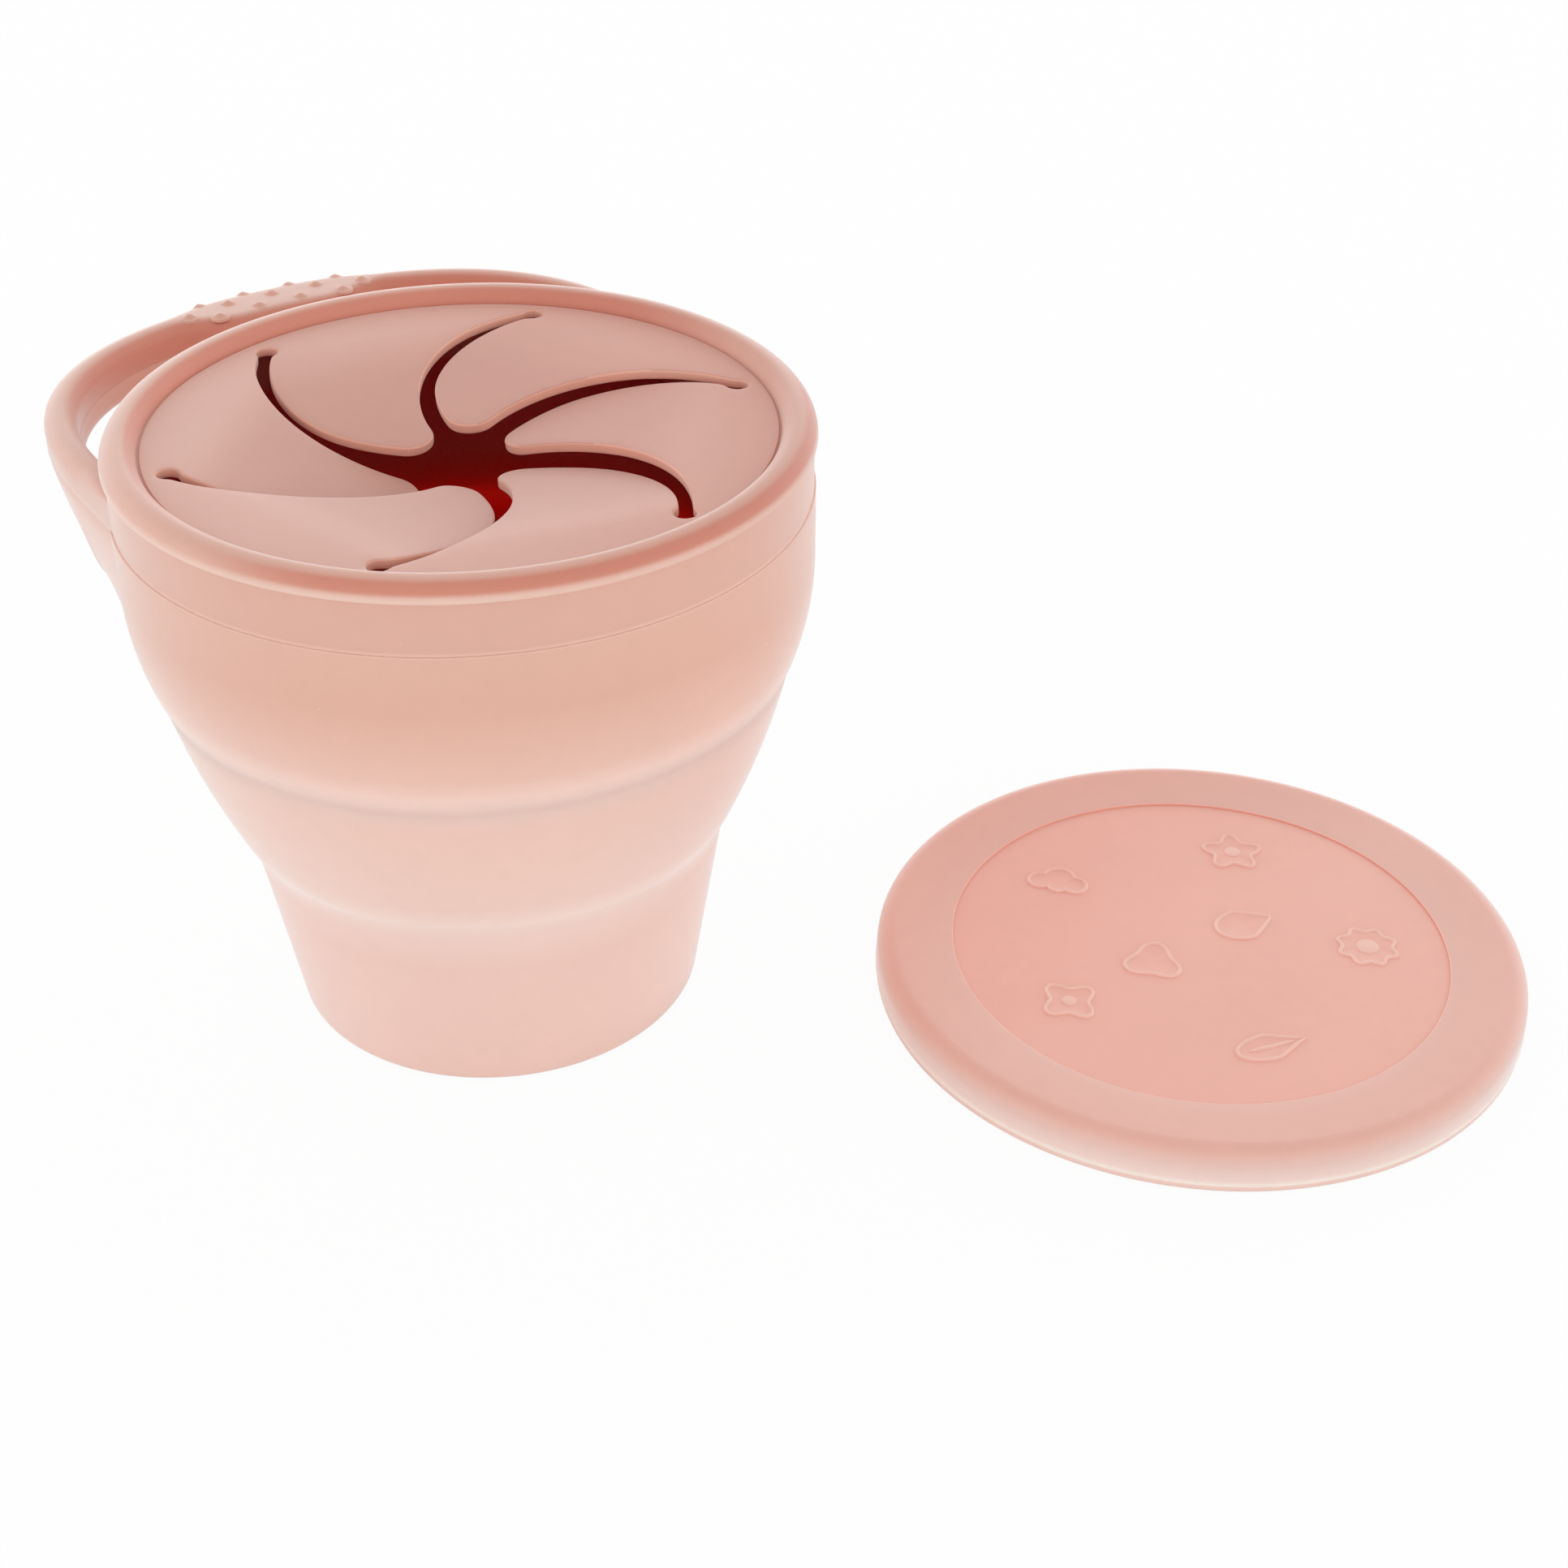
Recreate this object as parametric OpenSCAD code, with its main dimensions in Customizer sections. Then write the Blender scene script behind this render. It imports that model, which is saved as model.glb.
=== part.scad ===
// Toddler snack cup of soft silicone: a collapsible cup in three bands, a push-on lid with six curved petals
// and half of the carrying handle, and a flat dust cover that clips over the lid's bead.
// Millimetres. The origin is at the middle of the foot, +Z is up, and the cup stands on z = 0.

/* [Cup] */
// Outside radius of the foot
foot_r = 28.7; // [26:0.1:31]
// Rounding of the foot's lower edge
foot_round = 1.2; // [0.6:0.1:2]
// Thickness of the floor
floor_t = 2.2; // [1.6:0.1:3.5]
// Rounding inside, between the floor and the wall
floor_round = 3; // [1.5:0.5:5]
// Wall of the stiff bands
wall = 2; // [1.4:0.1:2.4]
// Height of the base band
base_h = 25; // [20:1:32]
// Outside radius at the top of the base band
base_top_r = 32.85; // [32:0.05:34]
// Height of the middle band, the one that turns inside out
mid_h = 21; // [18:1:26]
// Outside radius at the top of the middle band
mid_top_r = 42.5; // [40:0.1:43]
// Outward bulge of the middle band's wall
mid_bulge = 0.55; // [0:0.05:1]
// Height of the top band, up to the seam under the lid
top_h = 22.5; // [20:0.5:30]
// Reach of the top band's straight part past the middle band's top
rim_out = 3.25; // [2.5:0.05:5]
// Height of the top band's curved shoulder
shoulder_h = 12.5; // [8:0.5:14]

/* [Folds] */
// Height of the thin fold between the base and middle bands
lower_fold_h = 6.5; // [5:0.5:9]
// Thinnest wall of the lower fold
web_t = 1.1; // [0.8:0.1:1.4]
// Height of the thin fold between the middle and top bands
upper_fold_h = 3; // [2:0.5:5]
// Wall at the upper fold's hinge line
hinge_t = 0.7; // [0.5:0.05:1]
// Height over which the top band's wall grows from the hinge line to its full thickness
hinge_taper = 5; // [4:0.5:7]
// Clearance between one band and the next when the cup is pushed flat
nest_gap = 0.35; // [0.3:0.05:0.6]

/* [Lid seat] */
// Height of the neck that the lid pushes over
neck_h = 6; // [4:0.25:6]
// Wall of the neck
neck_t = 1.2; // [0.9:0.1:1.4]
// Height of the thickened root below the neck
neck_root = 2.4; // [2:0.1:4]
// Clearance between the neck and the lid
lid_gap = 0.3; // [0.3:0.05:0.5]

/* [Lid] */
// Wall of the lid's skirt
skirt_t = 1.2; // [1:0.1:1.6]
// Step from the cup's wall in to the skirt
skirt_step = 0.25; // [0:0.05:0.5]
// Radius of the bead's outer round
bead_r = 2.72; // [2.4:0.02:3]
// Half width of the bead's steeper inner flank
bead_flank = 2.06; // [1.6:0.02:2.4]
// How far the bead stands proud of the skirt
bead_proud = 0.5; // [0.2:0.1:0.8]
// Height of the bead's middle above the seam
bead_rise = 7; // [6.5:0.25:9]
// Thickness of the diaphragm and its petals
petal_t = 1.4; // [1:0.1:1.8]

/* [Petals] */
// Radius of the ring of relief holes at the slits' outer ends
hole_ring_r = 37.85; // [36.5:0.05:38.2]
// Diameter of a relief hole
hole_d = 3; // [2.4:0.1:3.4]
// Radius of a slit's centre line
slit_r = 22.84; // [22:0.02:24]
// Width of a slit
slit_w = 1.8; // [1.2:0.1:2.2]
// Angle between a slit and the radius at its relief hole
slit_lead = 54.5; // [52:0.5:57]
// How far a petal's tip stands back from where its two edges would meet in a plain round
tip_back = 0.7; // [0:0.1:1.5]
// Rounding of a petal's tip before it stands back
tip_round = 3.4; // [2:0.1:4]
// Azimuth of the first relief hole
first_hole_az = 133.2; // [0:0.1:360]
// Mean droop of the petals at rest, in degrees
droop = 9; // [0:0.5:12]
// Length over which a petal's root bends
bend_len = 4; // [2:0.5:6]
// Clearance between a petal's round root and the diaphragm
root_gap = 0.3; // [0.2:0.05:0.5]

/* [Handle] */
// Azimuth of the handle's axis
handle_az = 115; // [0:0.5:360]
// Reach of the handle past the skirt, on its axis
handle_out = 19.8; // [15:0.1:24]
// Reach of the handle's rounded corners past the skirt
handle_corner = 17.3; // [15:0.05:20]
// Distance from the cup's axis to the middle of the handle's outline
handle_off = 11.9; // [9:0.1:14]
// Width of the handle's bar
bar_w = 4.6; // [3.6:0.1:6]
// Width of the grip pad at the handle's middle
pad_w = 9.8; // [7:0.1:10.5]
// Bulge of the grip pad past the handle's outer line
pad_push = 1.2; // [0:0.1:2]
// Height of the handle's upper half above the seam
upper_bar_h = 4.3; // [3:0.1:5]
// Largest rounding of the upper half's edges
bar_round = 2.3; // [1:0.1:2.5]
// Height of the handle's flared lower half below the seam
flare_h = 16; // [12:0.5:19]
// Fullness of the flare's outer face, from a flat slope towards a square corner
flare_full = 0.7; // [0:0.05:0.9]
// Rounding of the flare's lower edge at the finger gap
flare_round = 2; // [0.8:0.1:2.5]

/* [Grip nubs] */
// Radius of a nub's base
nub_r = 0.9; // [0.7:0.05:1.2]
// Height of a nub above the grip pad
nub_h = 0.5; // [0.3:0.05:0.8]
// Angle between two nubs of a row
nub_pitch_angle = 7.75; // [6:0.25:8]

/* [Dust cover] */
// Distance from the cup's axis to the cover, to the right
cover_x = 101; // [96:0.1:140]
// Distance from the cup's axis to the cover, towards the back
cover_y = -18; // [-60:0.5:60]
// Height of the cover
cover_h = 6.4; // [6.2:0.1:8]
// Clearance between the cover's wall and the lid's bead
cover_gap = 0.2; // [0.1:0.05:0.4]
// Wall of the cover's edge
cover_wall = 0.8; // [0.7:0.05:1.5]
// Rounding of the cover's upper edge
cover_round = 2.7; // [2:0.1:3.6]
// Thickness of the cover's brim
brim_t = 1.3; // [1.2:0.1:1.7]
// Rise of the brim from the sunk panel out to the rounded edge
brim_rise = 0.7; // [0:0.1:1]
// Radius of the sunk panel
panel_r = 35.9; // [30:0.1:38]
// Thickness of the sunk panel
panel_t = 1; // [0.7:0.1:1.2]

/* [Hidden] */
$fn = 96;

// Segments of a drawn arc
arc_n = 8;
// Depth to which a piece is moulded into the wall that carries it
bond = 0.3;
// Overshoot of a cutting solid
cut = 1;

// Heights, from the foot up
fold1_z = base_h;
mid_z = fold1_z + lower_fold_h;
fold2_z = mid_z + mid_h;
top_z = fold2_z + upper_fold_h;
seam_z = top_z + top_h;
neck_z = seam_z + neck_h;
bead_z = seam_z + bead_rise;
disc_low_z = neck_z + lid_gap;
disc_z = disc_low_z + petal_t;
petal_z = disc_low_z + petal_t / 2;

// Radii that follow from one band to the next
rim_r = mid_top_r + rim_out;
mid_bot_r = base_top_r + nest_gap + wall;
top_bot_r = mid_top_r + nest_gap + hinge_t;
shoulder_in = rim_r - top_bot_r;
shoulder_r = (shoulder_h * shoulder_h + shoulder_in * shoulder_in) / (2 * shoulder_in);
skirt_r = rim_r - skirt_step;
skirt_in_r = skirt_r - skirt_t;
neck_r = skirt_in_r - lid_gap;
bead_c = skirt_r + bead_proud - bead_r;
bead_out_r = bead_c + bead_r;

// Petals: one local frame, with the root line across +X and the petal reaching in towards the cup's axis
petals = 6;
sector = 360 / petals;
root_x = hole_ring_r * cos(sector / 2);
hole_y = hole_ring_r * sin(sector / 2);
convex_r = slit_r - slit_w / 2;
concave_r = slit_r + slit_w / 2;
slit_c = [hole_ring_r - slit_r * sin(slit_lead), -slit_r * cos(slit_lead)];
convex_c = turned(slit_c, sector / 2);
concave_c = turned(slit_c, -sector / 2);
tip_c = circles_meet(convex_c, convex_r - tip_round, concave_c, concave_r + tip_round);
root_round = petal_t / 2;
// How far each petal droops as a share of the mean
droop_share = [0.95, 0.65, 0.95, 1.3, 1.4, 2];
// Length of a petal's end over which its tip stands back
tip_len = 9;
// Stations along a petal, across it, and round its tip
petal_n = 9;
across_n = 4;
tip_n = 3;
// Softening of a petal's edges
edge_soft = 0.45;

// Handle: an outline in polar form about its own middle, squared off at the corners
arm_top_r = skirt_r - bond;
reach_mid = skirt_r + handle_out - handle_off;
reach_corner = to_circle(45, skirt_r) + handle_corner;
reach_side = to_circle(90, skirt_r) + bond;
out_mean = (reach_mid + reach_side + 2 * reach_corner) / 4;
out_long = (reach_mid - reach_side) / 2;
out_square = (reach_mid + reach_side) / 2 - out_mean;
// Half angles of the handle, of the pad's full width, and of its run-out
handle_half_angle = 97;
pad_full_angle = 8;
pad_end_angle = 20;
handle_n = 44;
// Nub rows: distance in from the handle's outer edge, number of nubs
nub_rows = [[0.68 * pad_w, 4], [0.37 * pad_w, 5]];
// The outermost row sits on the pad's round shoulder
shoulder_row = [0.48 * bar_round, 4];
shoulder_tilt = asin((bar_round - shoulder_row[0]) / bar_round);

// Cover
cover_in_r = bead_out_r + cover_gap;
cover_r = cover_in_r + cover_wall;
brim_low_z = cover_h - brim_rise - brim_t;
groove_round = cover_round - cover_wall;
groove_z = brim_low_z + brim_rise - groove_round;

// A point turned about the axis
function turned(p, a) = [p[0] * cos(a) - p[1] * sin(a), p[0] * sin(a) + p[1] * cos(a)];
// The unit vector at an angle
function unit(a) = [cos(a), sin(a)];
// The angle of a vector
function angle_of(v) = atan2(v[1], v[0]);
// Smooth step between 0 and 1
function smooth(u) = let(v = max(0, min(1, u))) v * v * (3 - 2 * v);
// Where two circles meet, on the left of the line from the first centre to the second
function circles_meet(c1, r1, c2, r2) =
    let(v = c2 - c1, d = norm(v), a = (r1 * r1 - r2 * r2 + d * d) / (2 * d), h = sqrt(r1 * r1 - a * a))
    c1 + v * (a / d) + [v[1], -v[0]] * (h / d);
// Points of an arc
function arc(c, r, a0, a1, n) = [for (i = [0:n]) c + r * unit(a0 + (a1 - a0) * i / n)];
// Points of a line from p to q that bulges to its right
function bulged(p, q, sag, n) =
    let(v = (q - p) / norm(q - p))
    [for (i = [0:n]) let(u = i / n) p + (q - p) * u + [v[1], -v[0]] * (4 * sag * u * (1 - u))];
// A list back to front
function reversed(list) = [for (i = [len(list) - 1:-1:0]) list[i]];
// A chain of points moved sideways
function moved(list, dx) = [for (p = list) [p[0] + dx, p[1]]];

// Outside radius of the base band at a height
function base_r(z) = foot_r + (base_top_r - foot_r) * z / base_h;
// Wall of the top band at a height
function top_wall(z) = hinge_t + (wall - hinge_t) * min(1, (z - top_z) / hinge_taper);
// Outline of the top band's curved shoulder, from the upper fold to the straight wall
function shoulder_line() =
    arc([rim_r - shoulder_r, top_z + shoulder_h], shoulder_r, -asin(shoulder_h / shoulder_r), 0, arc_n);
// Outside radius of the top band at a height
function top_r(z) =
    let(h = max(0, top_z + shoulder_h - z)) rim_r - shoulder_r + sqrt(shoulder_r * shoulder_r - h * h);

// Distance from the handle's middle to a circle about the cup's axis, along the ray at an angle
function to_circle(a, r) = sqrt(r * r - pow(handle_off * sin(a), 2)) - handle_off * cos(a);
// Share of the grip pad's full size at an angle
function pad_share(a) = smooth((pad_end_angle - abs(a)) / (pad_end_angle - pad_full_angle));
// Outer edge of the handle along the same ray
function bar_out(a) = out_mean + out_long * cos(2 * a) + out_square * cos(4 * a) + pad_push * pad_share(a);
// Width of the bar, with the grip pad in its middle
function bar_width(a) = bar_w + (pad_w - bar_w) * pad_share(a);
// Inner edge of the handle: the bar's own edge, or the wall of the cup near its ends
function bar_in(a) = max(bar_out(a) - bar_width(a), to_circle(a, arm_top_r));
// A point of the handle in the cup's frame
function on_handle(a, d, z) = let(p = turned([handle_off, 0] + d * unit(a), handle_az)) [p[0], p[1], z];

// Triangles that close a ring of n points across, from its first point to its middle one
function cap(n, p) = [for (j = [0:n / 2 - 2])
    each [[p + 1 + j, p + 2 + j, p + n - 1 - j], [p + 1 + j, p + n - 1 - j, p + (n - j) % n]]];
// Triangles of a solid lofted through rings of n points each
function loft(rings, n) = concat(
    [for (t = cap(n, 0)) reversed(t)],
    [for (k = [0:rings - 2]) for (i = [0:n - 1]) let(j = (i + 1) % n, p = k * n)
        each [[p + i, p + j, p + n + j], [p + i, p + n + j, p + n + i]]],
    cap(n, (rings - 1) * n));

// Base band with the floor
module base_tier() {
    in_r = base_r(floor_t + floor_round) - wall;
    outer = concat(
        arc([foot_r - foot_round, foot_round], foot_round, -90, 0, arc_n),
        [[base_top_r, base_h]]);
    inner = concat(
        [[base_top_r - wall, base_h]],
        arc([in_r - floor_round, floor_t + floor_round], floor_round, 0, -90, arc_n));
    color("mistyrose")
        rotate_extrude()
            polygon(concat([[0, 0]], outer, inner, [[0, floor_t]]));
}

// Thin fold that lets the middle band swing down round the base band
module lower_fold() {
    outer = [for (i = [0:arc_n]) let(u = i / arc_n)
        [base_top_r + (mid_bot_r - base_top_r) * u * u, fold1_z + lower_fold_h * u]];
    inner = [for (i = [0:arc_n]) let(u = i / arc_n)
        [outer[i][0] - wall + (wall - web_t) * sin(180 * u), outer[i][1]]];
    color("seashell")
        rotate_extrude()
            polygon(concat(outer, reversed(inner)));
}

// Middle band
module mid_tier() {
    outer = bulged([mid_bot_r, mid_z], [mid_top_r, fold2_z], mid_bulge, arc_n);
    color("pink")
        rotate_extrude()
            polygon(concat(outer, reversed(moved(outer, -wall))));
}

// Thin fold between the middle and top bands
module upper_fold() {
    outer = [for (i = [0:arc_n]) let(u = i / arc_n)
        [mid_top_r + (top_bot_r - mid_top_r) * pow(u, 1.5), fold2_z + upper_fold_h * u]];
    color("seashell")
        rotate_extrude()
            polygon(concat(outer, [[top_bot_r - hinge_t, top_z], [mid_top_r - wall, fold2_z]]));
}

// Top band with the neck that the lid pushes over
module top_tier() {
    outer = shoulder_line();
    inner = [for (p = outer) [p[0] - top_wall(p[1]), p[1]]];
    neck = [
        [rim_r, seam_z],
        [neck_r, seam_z],
        [neck_r, neck_z],
        [neck_r - neck_t, neck_z],
        [neck_r - neck_t, seam_z - neck_root / 2],
        [rim_r - wall, seam_z - neck_root]];
    color("pink")
        rotate_extrude()
            polygon(concat(outer, neck, reversed(inner)));
}

// Lower half of the handle: a flare that grows out of the cup's wall, cut straight down at the finger gap
function flare_ring(a) =
    let(
        d_in = bar_in(a),
        d_out = max(bar_out(a), d_in + bond),
        low_z = seam_z - flare_h,
        wall_d = to_circle(a, rim_r - bond),
        foot_d = to_circle(a, top_r(low_z) - bond),
        u = max(0, (d_in - wall_d) / (d_out - wall_d)),
        corner = [d_in + (foot_d - wall_d) * (1 - u) * smooth(1 - 4 * u), low_z + flare_h * u],
        soft = max(bond / 4, min(flare_round, (seam_z - corner[1]) / 2) * smooth(6 * u)),
        top = [d_out, seam_z],
        mid = (top + corner) / 2,
        full = mid + ([d_out, corner[1]] - mid) * flare_full,
        slope = full - corner,
        from = corner + slope * (soft / norm(slope)),
        to = corner + [0, soft])
    [for (p = concat(
        [[d_in, seam_z]],
        [for (i = [0:3]) let(t = i / 4) top * pow(1 - t, 2) + full * (2 * t * (1 - t)) + from * pow(t, 2)],
        [for (i = [0:3]) let(t = i / 3) from * pow(1 - t, 2) + corner * (2 * t * (1 - t)) + to * pow(t, 2)],
        [[d_in, (to[1] + seam_z) / 2]])) on_handle(a, p[0], p[1])];

module cup_handle() {
    rings = [for (i = [0:handle_n]) flare_ring(-handle_half_angle + 2 * handle_half_angle * i / handle_n)];
    color("lightpink")
        polyhedron([for (r = rings) each r], loft(len(rings), len(rings[0])));
}

// Lid: bead, skirt and the fixed edge of the diaphragm, open inside the petals' root lines
module lid_ring() {
    side_a = -acos((skirt_r - bead_c) / bead_r);
    flank_a = 180 - asin((disc_z - bead_z) / bead_r);
    flank = [for (i = [1:arc_n]) let(a = 90 + (flank_a - 90) * i / arc_n)
        [bead_c + bead_flank * cos(a), bead_z + bead_r * sin(a)]];
    inner_r = root_x - cut;
    color("salmon")
        difference() {
            rotate_extrude()
                polygon(concat(
                    [[skirt_in_r, seam_z], [skirt_r, seam_z]],
                    arc([bead_c, bead_z], bead_r, side_a, 90, arc_n),
                    flank,
                    [[inner_r, disc_z], [inner_r, disc_low_z], [skirt_in_r, disc_low_z]]));
            rotate([0, 0, first_hole_az])
                translate([0, 0, disc_low_z - cut])
                    cylinder(h = petal_t + 2 * cut, r = (root_x + root_round + root_gap) / cos(sector / 2), $fn = 6);
            for (i = [0:petals - 1])
                rotate([0, 0, first_hole_az - sector * i])
                    translate([hole_ring_r, 0, disc_low_z - cut])
                        cylinder(h = petal_t + 2 * cut, d = hole_d);
        }
}

// Upper half of the handle, rounded on top
function upper_ring(a) =
    let(
        d_in = bar_in(a),
        d_out = max(bar_out(a), d_in + bond),
        soft = min(bar_round, (d_out - d_in) / 2),
        high_z = seam_z + upper_bar_h)
    [for (p = concat(
        [[d_in, seam_z]],
        [for (i = [0:4]) [d_in + soft, high_z - soft] + soft * unit(180 - 22.5 * i)],
        [for (i = [0:4]) [d_out - soft, high_z - soft] + soft * unit(90 - 22.5 * i)],
        [[d_out, seam_z]])) on_handle(a, p[0], p[1])];

module lid_handle() {
    rings = [for (i = [handle_n:-1:0]) upper_ring(-handle_half_angle + 2 * handle_half_angle * i / handle_n)];
    color("lightsalmon")
        polyhedron([for (r = rings) each r], loft(len(rings), len(rings[0])));
}

// One nub: a low dome moulded into the pad
module nub() {
    dome_r = (nub_r * nub_r + nub_h * nub_h) / (2 * nub_h);
    intersection() {
        translate([0, 0, nub_h - dome_r])
            sphere(r = dome_r, $fn = 32);
        translate([0, 0, -bond])
            cylinder(h = nub_h + 2 * bond, r = nub_r);
    }
}

// Staggered rows of nubs along the grip pad
module grip_nubs() {
    color("salmon") {
        for (row = nub_rows)
            for (i = [0:row[1] - 1])
                let(a = nub_pitch_angle * (i - (row[1] - 1) / 2))
                    translate(on_handle(a, bar_out(a) - row[0], seam_z + upper_bar_h))
                        nub();
        for (i = [0:shoulder_row[1] - 1])
            let(a = nub_pitch_angle * (i - (shoulder_row[1] - 1) / 2), drop = bar_round * (1 - cos(shoulder_tilt)))
                translate(on_handle(a, bar_out(a) - shoulder_row[0], seam_z + upper_bar_h - drop))
                    rotate([0, 0, handle_az + a])
                        rotate([0, shoulder_tilt, 0])
                            nub();
    }
}

// Edge points of a petal: the convex side, then its half of the round tip
function convex_edge() =
    let(
        a1 = angle_of(tip_c - convex_c),
        hole_cut = circles_meet([root_x, hole_y], hole_d / 2, convex_c, convex_r),
        a0 = angle_of(hole_cut - convex_c),
        b0 = angle_of(tip_c - convex_c),
        b1 = tip_angle())
    concat(
        [[root_x, hole_y - hole_d / 2]],
        [for (i = [0:petal_n - 1]) stood_back(convex_c + convex_r * unit(a0 + (a1 - a0) * i / (petal_n - 1)))],
        [for (i = [1:tip_n]) stood_back(tip_c + tip_round * unit(b0 + (b1 - b0) * i / (tip_n + 0.5)))]);
// The concave side, then the other half of the tip
function concave_edge() =
    let(
        dx = root_x - concave_c[0],
        a0 = asin(sqrt(concave_r * concave_r - dx * dx) / concave_r),
        a1 = angle_of(tip_c - concave_c),
        b0 = angle_of(concave_c - tip_c) + 360,
        b1 = tip_angle())
    concat(
        [for (i = [0:petal_n]) stood_back(concave_c + concave_r * unit(a0 + (a1 - a0) * i / petal_n))],
        [for (i = [1:tip_n]) stood_back(tip_c + tip_round * unit(b0 + (b1 - b0) * i / (tip_n + 0.5)))]);
// A point near a petal's tip, drawn back towards the root
function stood_back(p) = p + [tip_back * smooth((tip_c[0] - tip_round + tip_len - p[0]) / tip_len), 0];
// Direction in which a petal's tip points
function tip_angle() = (angle_of(tip_c - convex_c) + angle_of(concave_c - tip_c) + 360) / 2;

// A point of a petal, bent down smoothly from its root line by an angle
function bent(p, h, fall) =
    let(
        d = max(0, root_x - p[0]),
        run = sqrt(d * d + bend_len * bend_len) - bend_len,
        slope = fall * d / sqrt(d * d + bend_len * bend_len))
    [p[0] + (1 - cos(fall)) * run - h * sin(slope), p[1], petal_z - sin(fall) * run + h * cos(slope)];

// One cross-section of a petal between two edge points, with soft edges
function petal_ring(a, b, fall) =
    let(
        v = (b - a) / norm(b - a),
        s = min(edge_soft, norm(b - a) / 3),
        a2 = a + v * s,
        b2 = b - v * s,
        across = [for (i = [0:across_n]) a2 + (b2 - a2) * i / across_n],
        h = petal_t / 2)
    concat(
        [bent(a, s - h, fall), bent(a, h - s, fall)],
        [for (p = across) bent(p, h, fall)],
        [bent(b, h - s, fall), bent(b, s - h, fall)],
        [for (p = reversed(across)) bent(p, -h, fall)]);
// The round root of a petal, which turns about the root line
function root_ring(a, b, t, fall) =
    let(
        out = [root_round * sin(t), 0],
        k = cos(t),
        ring = petal_ring(a, b, fall))
    [for (p = ring) [p[0] + out[0], p[1], petal_z + (p[2] - petal_z) * k]];

module petal(i) {
    fall = droop * droop_share[i];
    left = convex_edge();
    right = concave_edge();
    roots = [for (t = [75, 50, 25]) root_ring(left[0], right[0], t, fall)];
    body = [for (k = [0:len(left) - 1]) petal_ring(left[k], right[k], fall)];
    rings = reversed(concat(roots, body));
    rotate([0, 0, first_hole_az - sector * (i + 0.5)])
        polyhedron([for (r = rings) each r], loft(len(rings), len(rings[0])));
}

module petal_1() { color("lightsalmon") petal(0); }
module petal_2() { color("pink") petal(1); }
module petal_3() { color("lightsalmon") petal(2); }
module petal_4() { color("pink") petal(3); }
module petal_5() { color("lightsalmon") petal(4); }
module petal_6() { color("pink") petal(5); }

// Edge and brim of the dust cover, grooved below for the lid's bead
module cover_rim() {
    color("darksalmon")
        translate([cover_x, cover_y, 0])
            rotate_extrude()
                polygon(concat(
                    [[panel_r, brim_low_z]],
                    arc([cover_in_r - groove_round, groove_z], groove_round, 90, 0, arc_n),
                    [[cover_in_r, 0], [cover_r, 0]],
                    arc([cover_r - cover_round, cover_h - cover_round], cover_round, 0, 90, arc_n),
                    [[panel_r, cover_h - brim_rise]]));
}

// Thin sunk panel of the dust cover
module cover_panel() {
    color("salmon")
        translate([cover_x, cover_y, brim_low_z])
            cylinder(h = panel_t, r = panel_r);
}

base_tier();
lower_fold();
mid_tier();
upper_fold();
top_tier();
cup_handle();
lid_ring();
lid_handle();
grip_nubs();
petal_1();
petal_2();
petal_3();
petal_4();
petal_5();
petal_6();
cover_rim();
cover_panel();
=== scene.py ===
"""Looks of the toddler snack cup: the folding silicone cup, its slit lid with the carrying handle, and the
dust cover that lies beside it."""

import math

import bpy
import numpy as np
from mathutils import Matrix, Vector
from mathutils.geometry import delaunay_2d_cdt


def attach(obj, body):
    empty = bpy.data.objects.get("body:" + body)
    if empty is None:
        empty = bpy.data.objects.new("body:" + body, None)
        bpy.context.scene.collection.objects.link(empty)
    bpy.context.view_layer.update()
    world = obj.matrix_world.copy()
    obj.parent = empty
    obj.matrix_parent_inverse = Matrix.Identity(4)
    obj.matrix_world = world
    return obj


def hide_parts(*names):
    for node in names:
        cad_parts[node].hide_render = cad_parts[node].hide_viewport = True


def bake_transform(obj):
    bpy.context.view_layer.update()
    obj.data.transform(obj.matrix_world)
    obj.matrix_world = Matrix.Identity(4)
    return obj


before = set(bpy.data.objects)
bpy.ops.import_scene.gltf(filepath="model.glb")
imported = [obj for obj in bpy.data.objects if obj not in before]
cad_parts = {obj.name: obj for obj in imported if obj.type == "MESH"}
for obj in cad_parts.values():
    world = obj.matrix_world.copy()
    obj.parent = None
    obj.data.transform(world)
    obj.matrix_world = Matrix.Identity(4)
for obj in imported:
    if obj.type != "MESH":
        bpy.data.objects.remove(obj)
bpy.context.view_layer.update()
MM = 0.001

# Sizes of the part in millimetres and degrees, as in its CAD source.
# The cup: foot and floor, three bands with the folds between them, rim and neck
FOOT_R, FOOT_ROUND, FLOOR_T, FLOOR_ROUND, WALL = 28.7, 1.2, 2.2, 3.0, 2.0
BASE_TOP_R, FOLD1_Z, MID_Z, FOLD2_Z, TOP_Z = 32.85, 25.0, 31.5, 52.5, 55.5
MID_BOT_R, MID_TOP_R, MID_BULGE, TOP_BOT_R = 35.2, 42.5, 0.55, 43.55
WEB_T, HINGE_T, HINGE_TAPER = 1.1, 0.7, 5.0
RIM_R, SHOULDER_H, SEAM_Z = 45.75, 12.5, 78.0
SHOULDER_REACH = RIM_R - TOP_BOT_R
SHOULDER_R = (SHOULDER_H ** 2 + SHOULDER_REACH ** 2) / (2 * SHOULDER_REACH)
NECK_R, NECK_T, NECK_Z, NECK_ROOT = 44.0, 1.2, 84.0, 2.4

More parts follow.
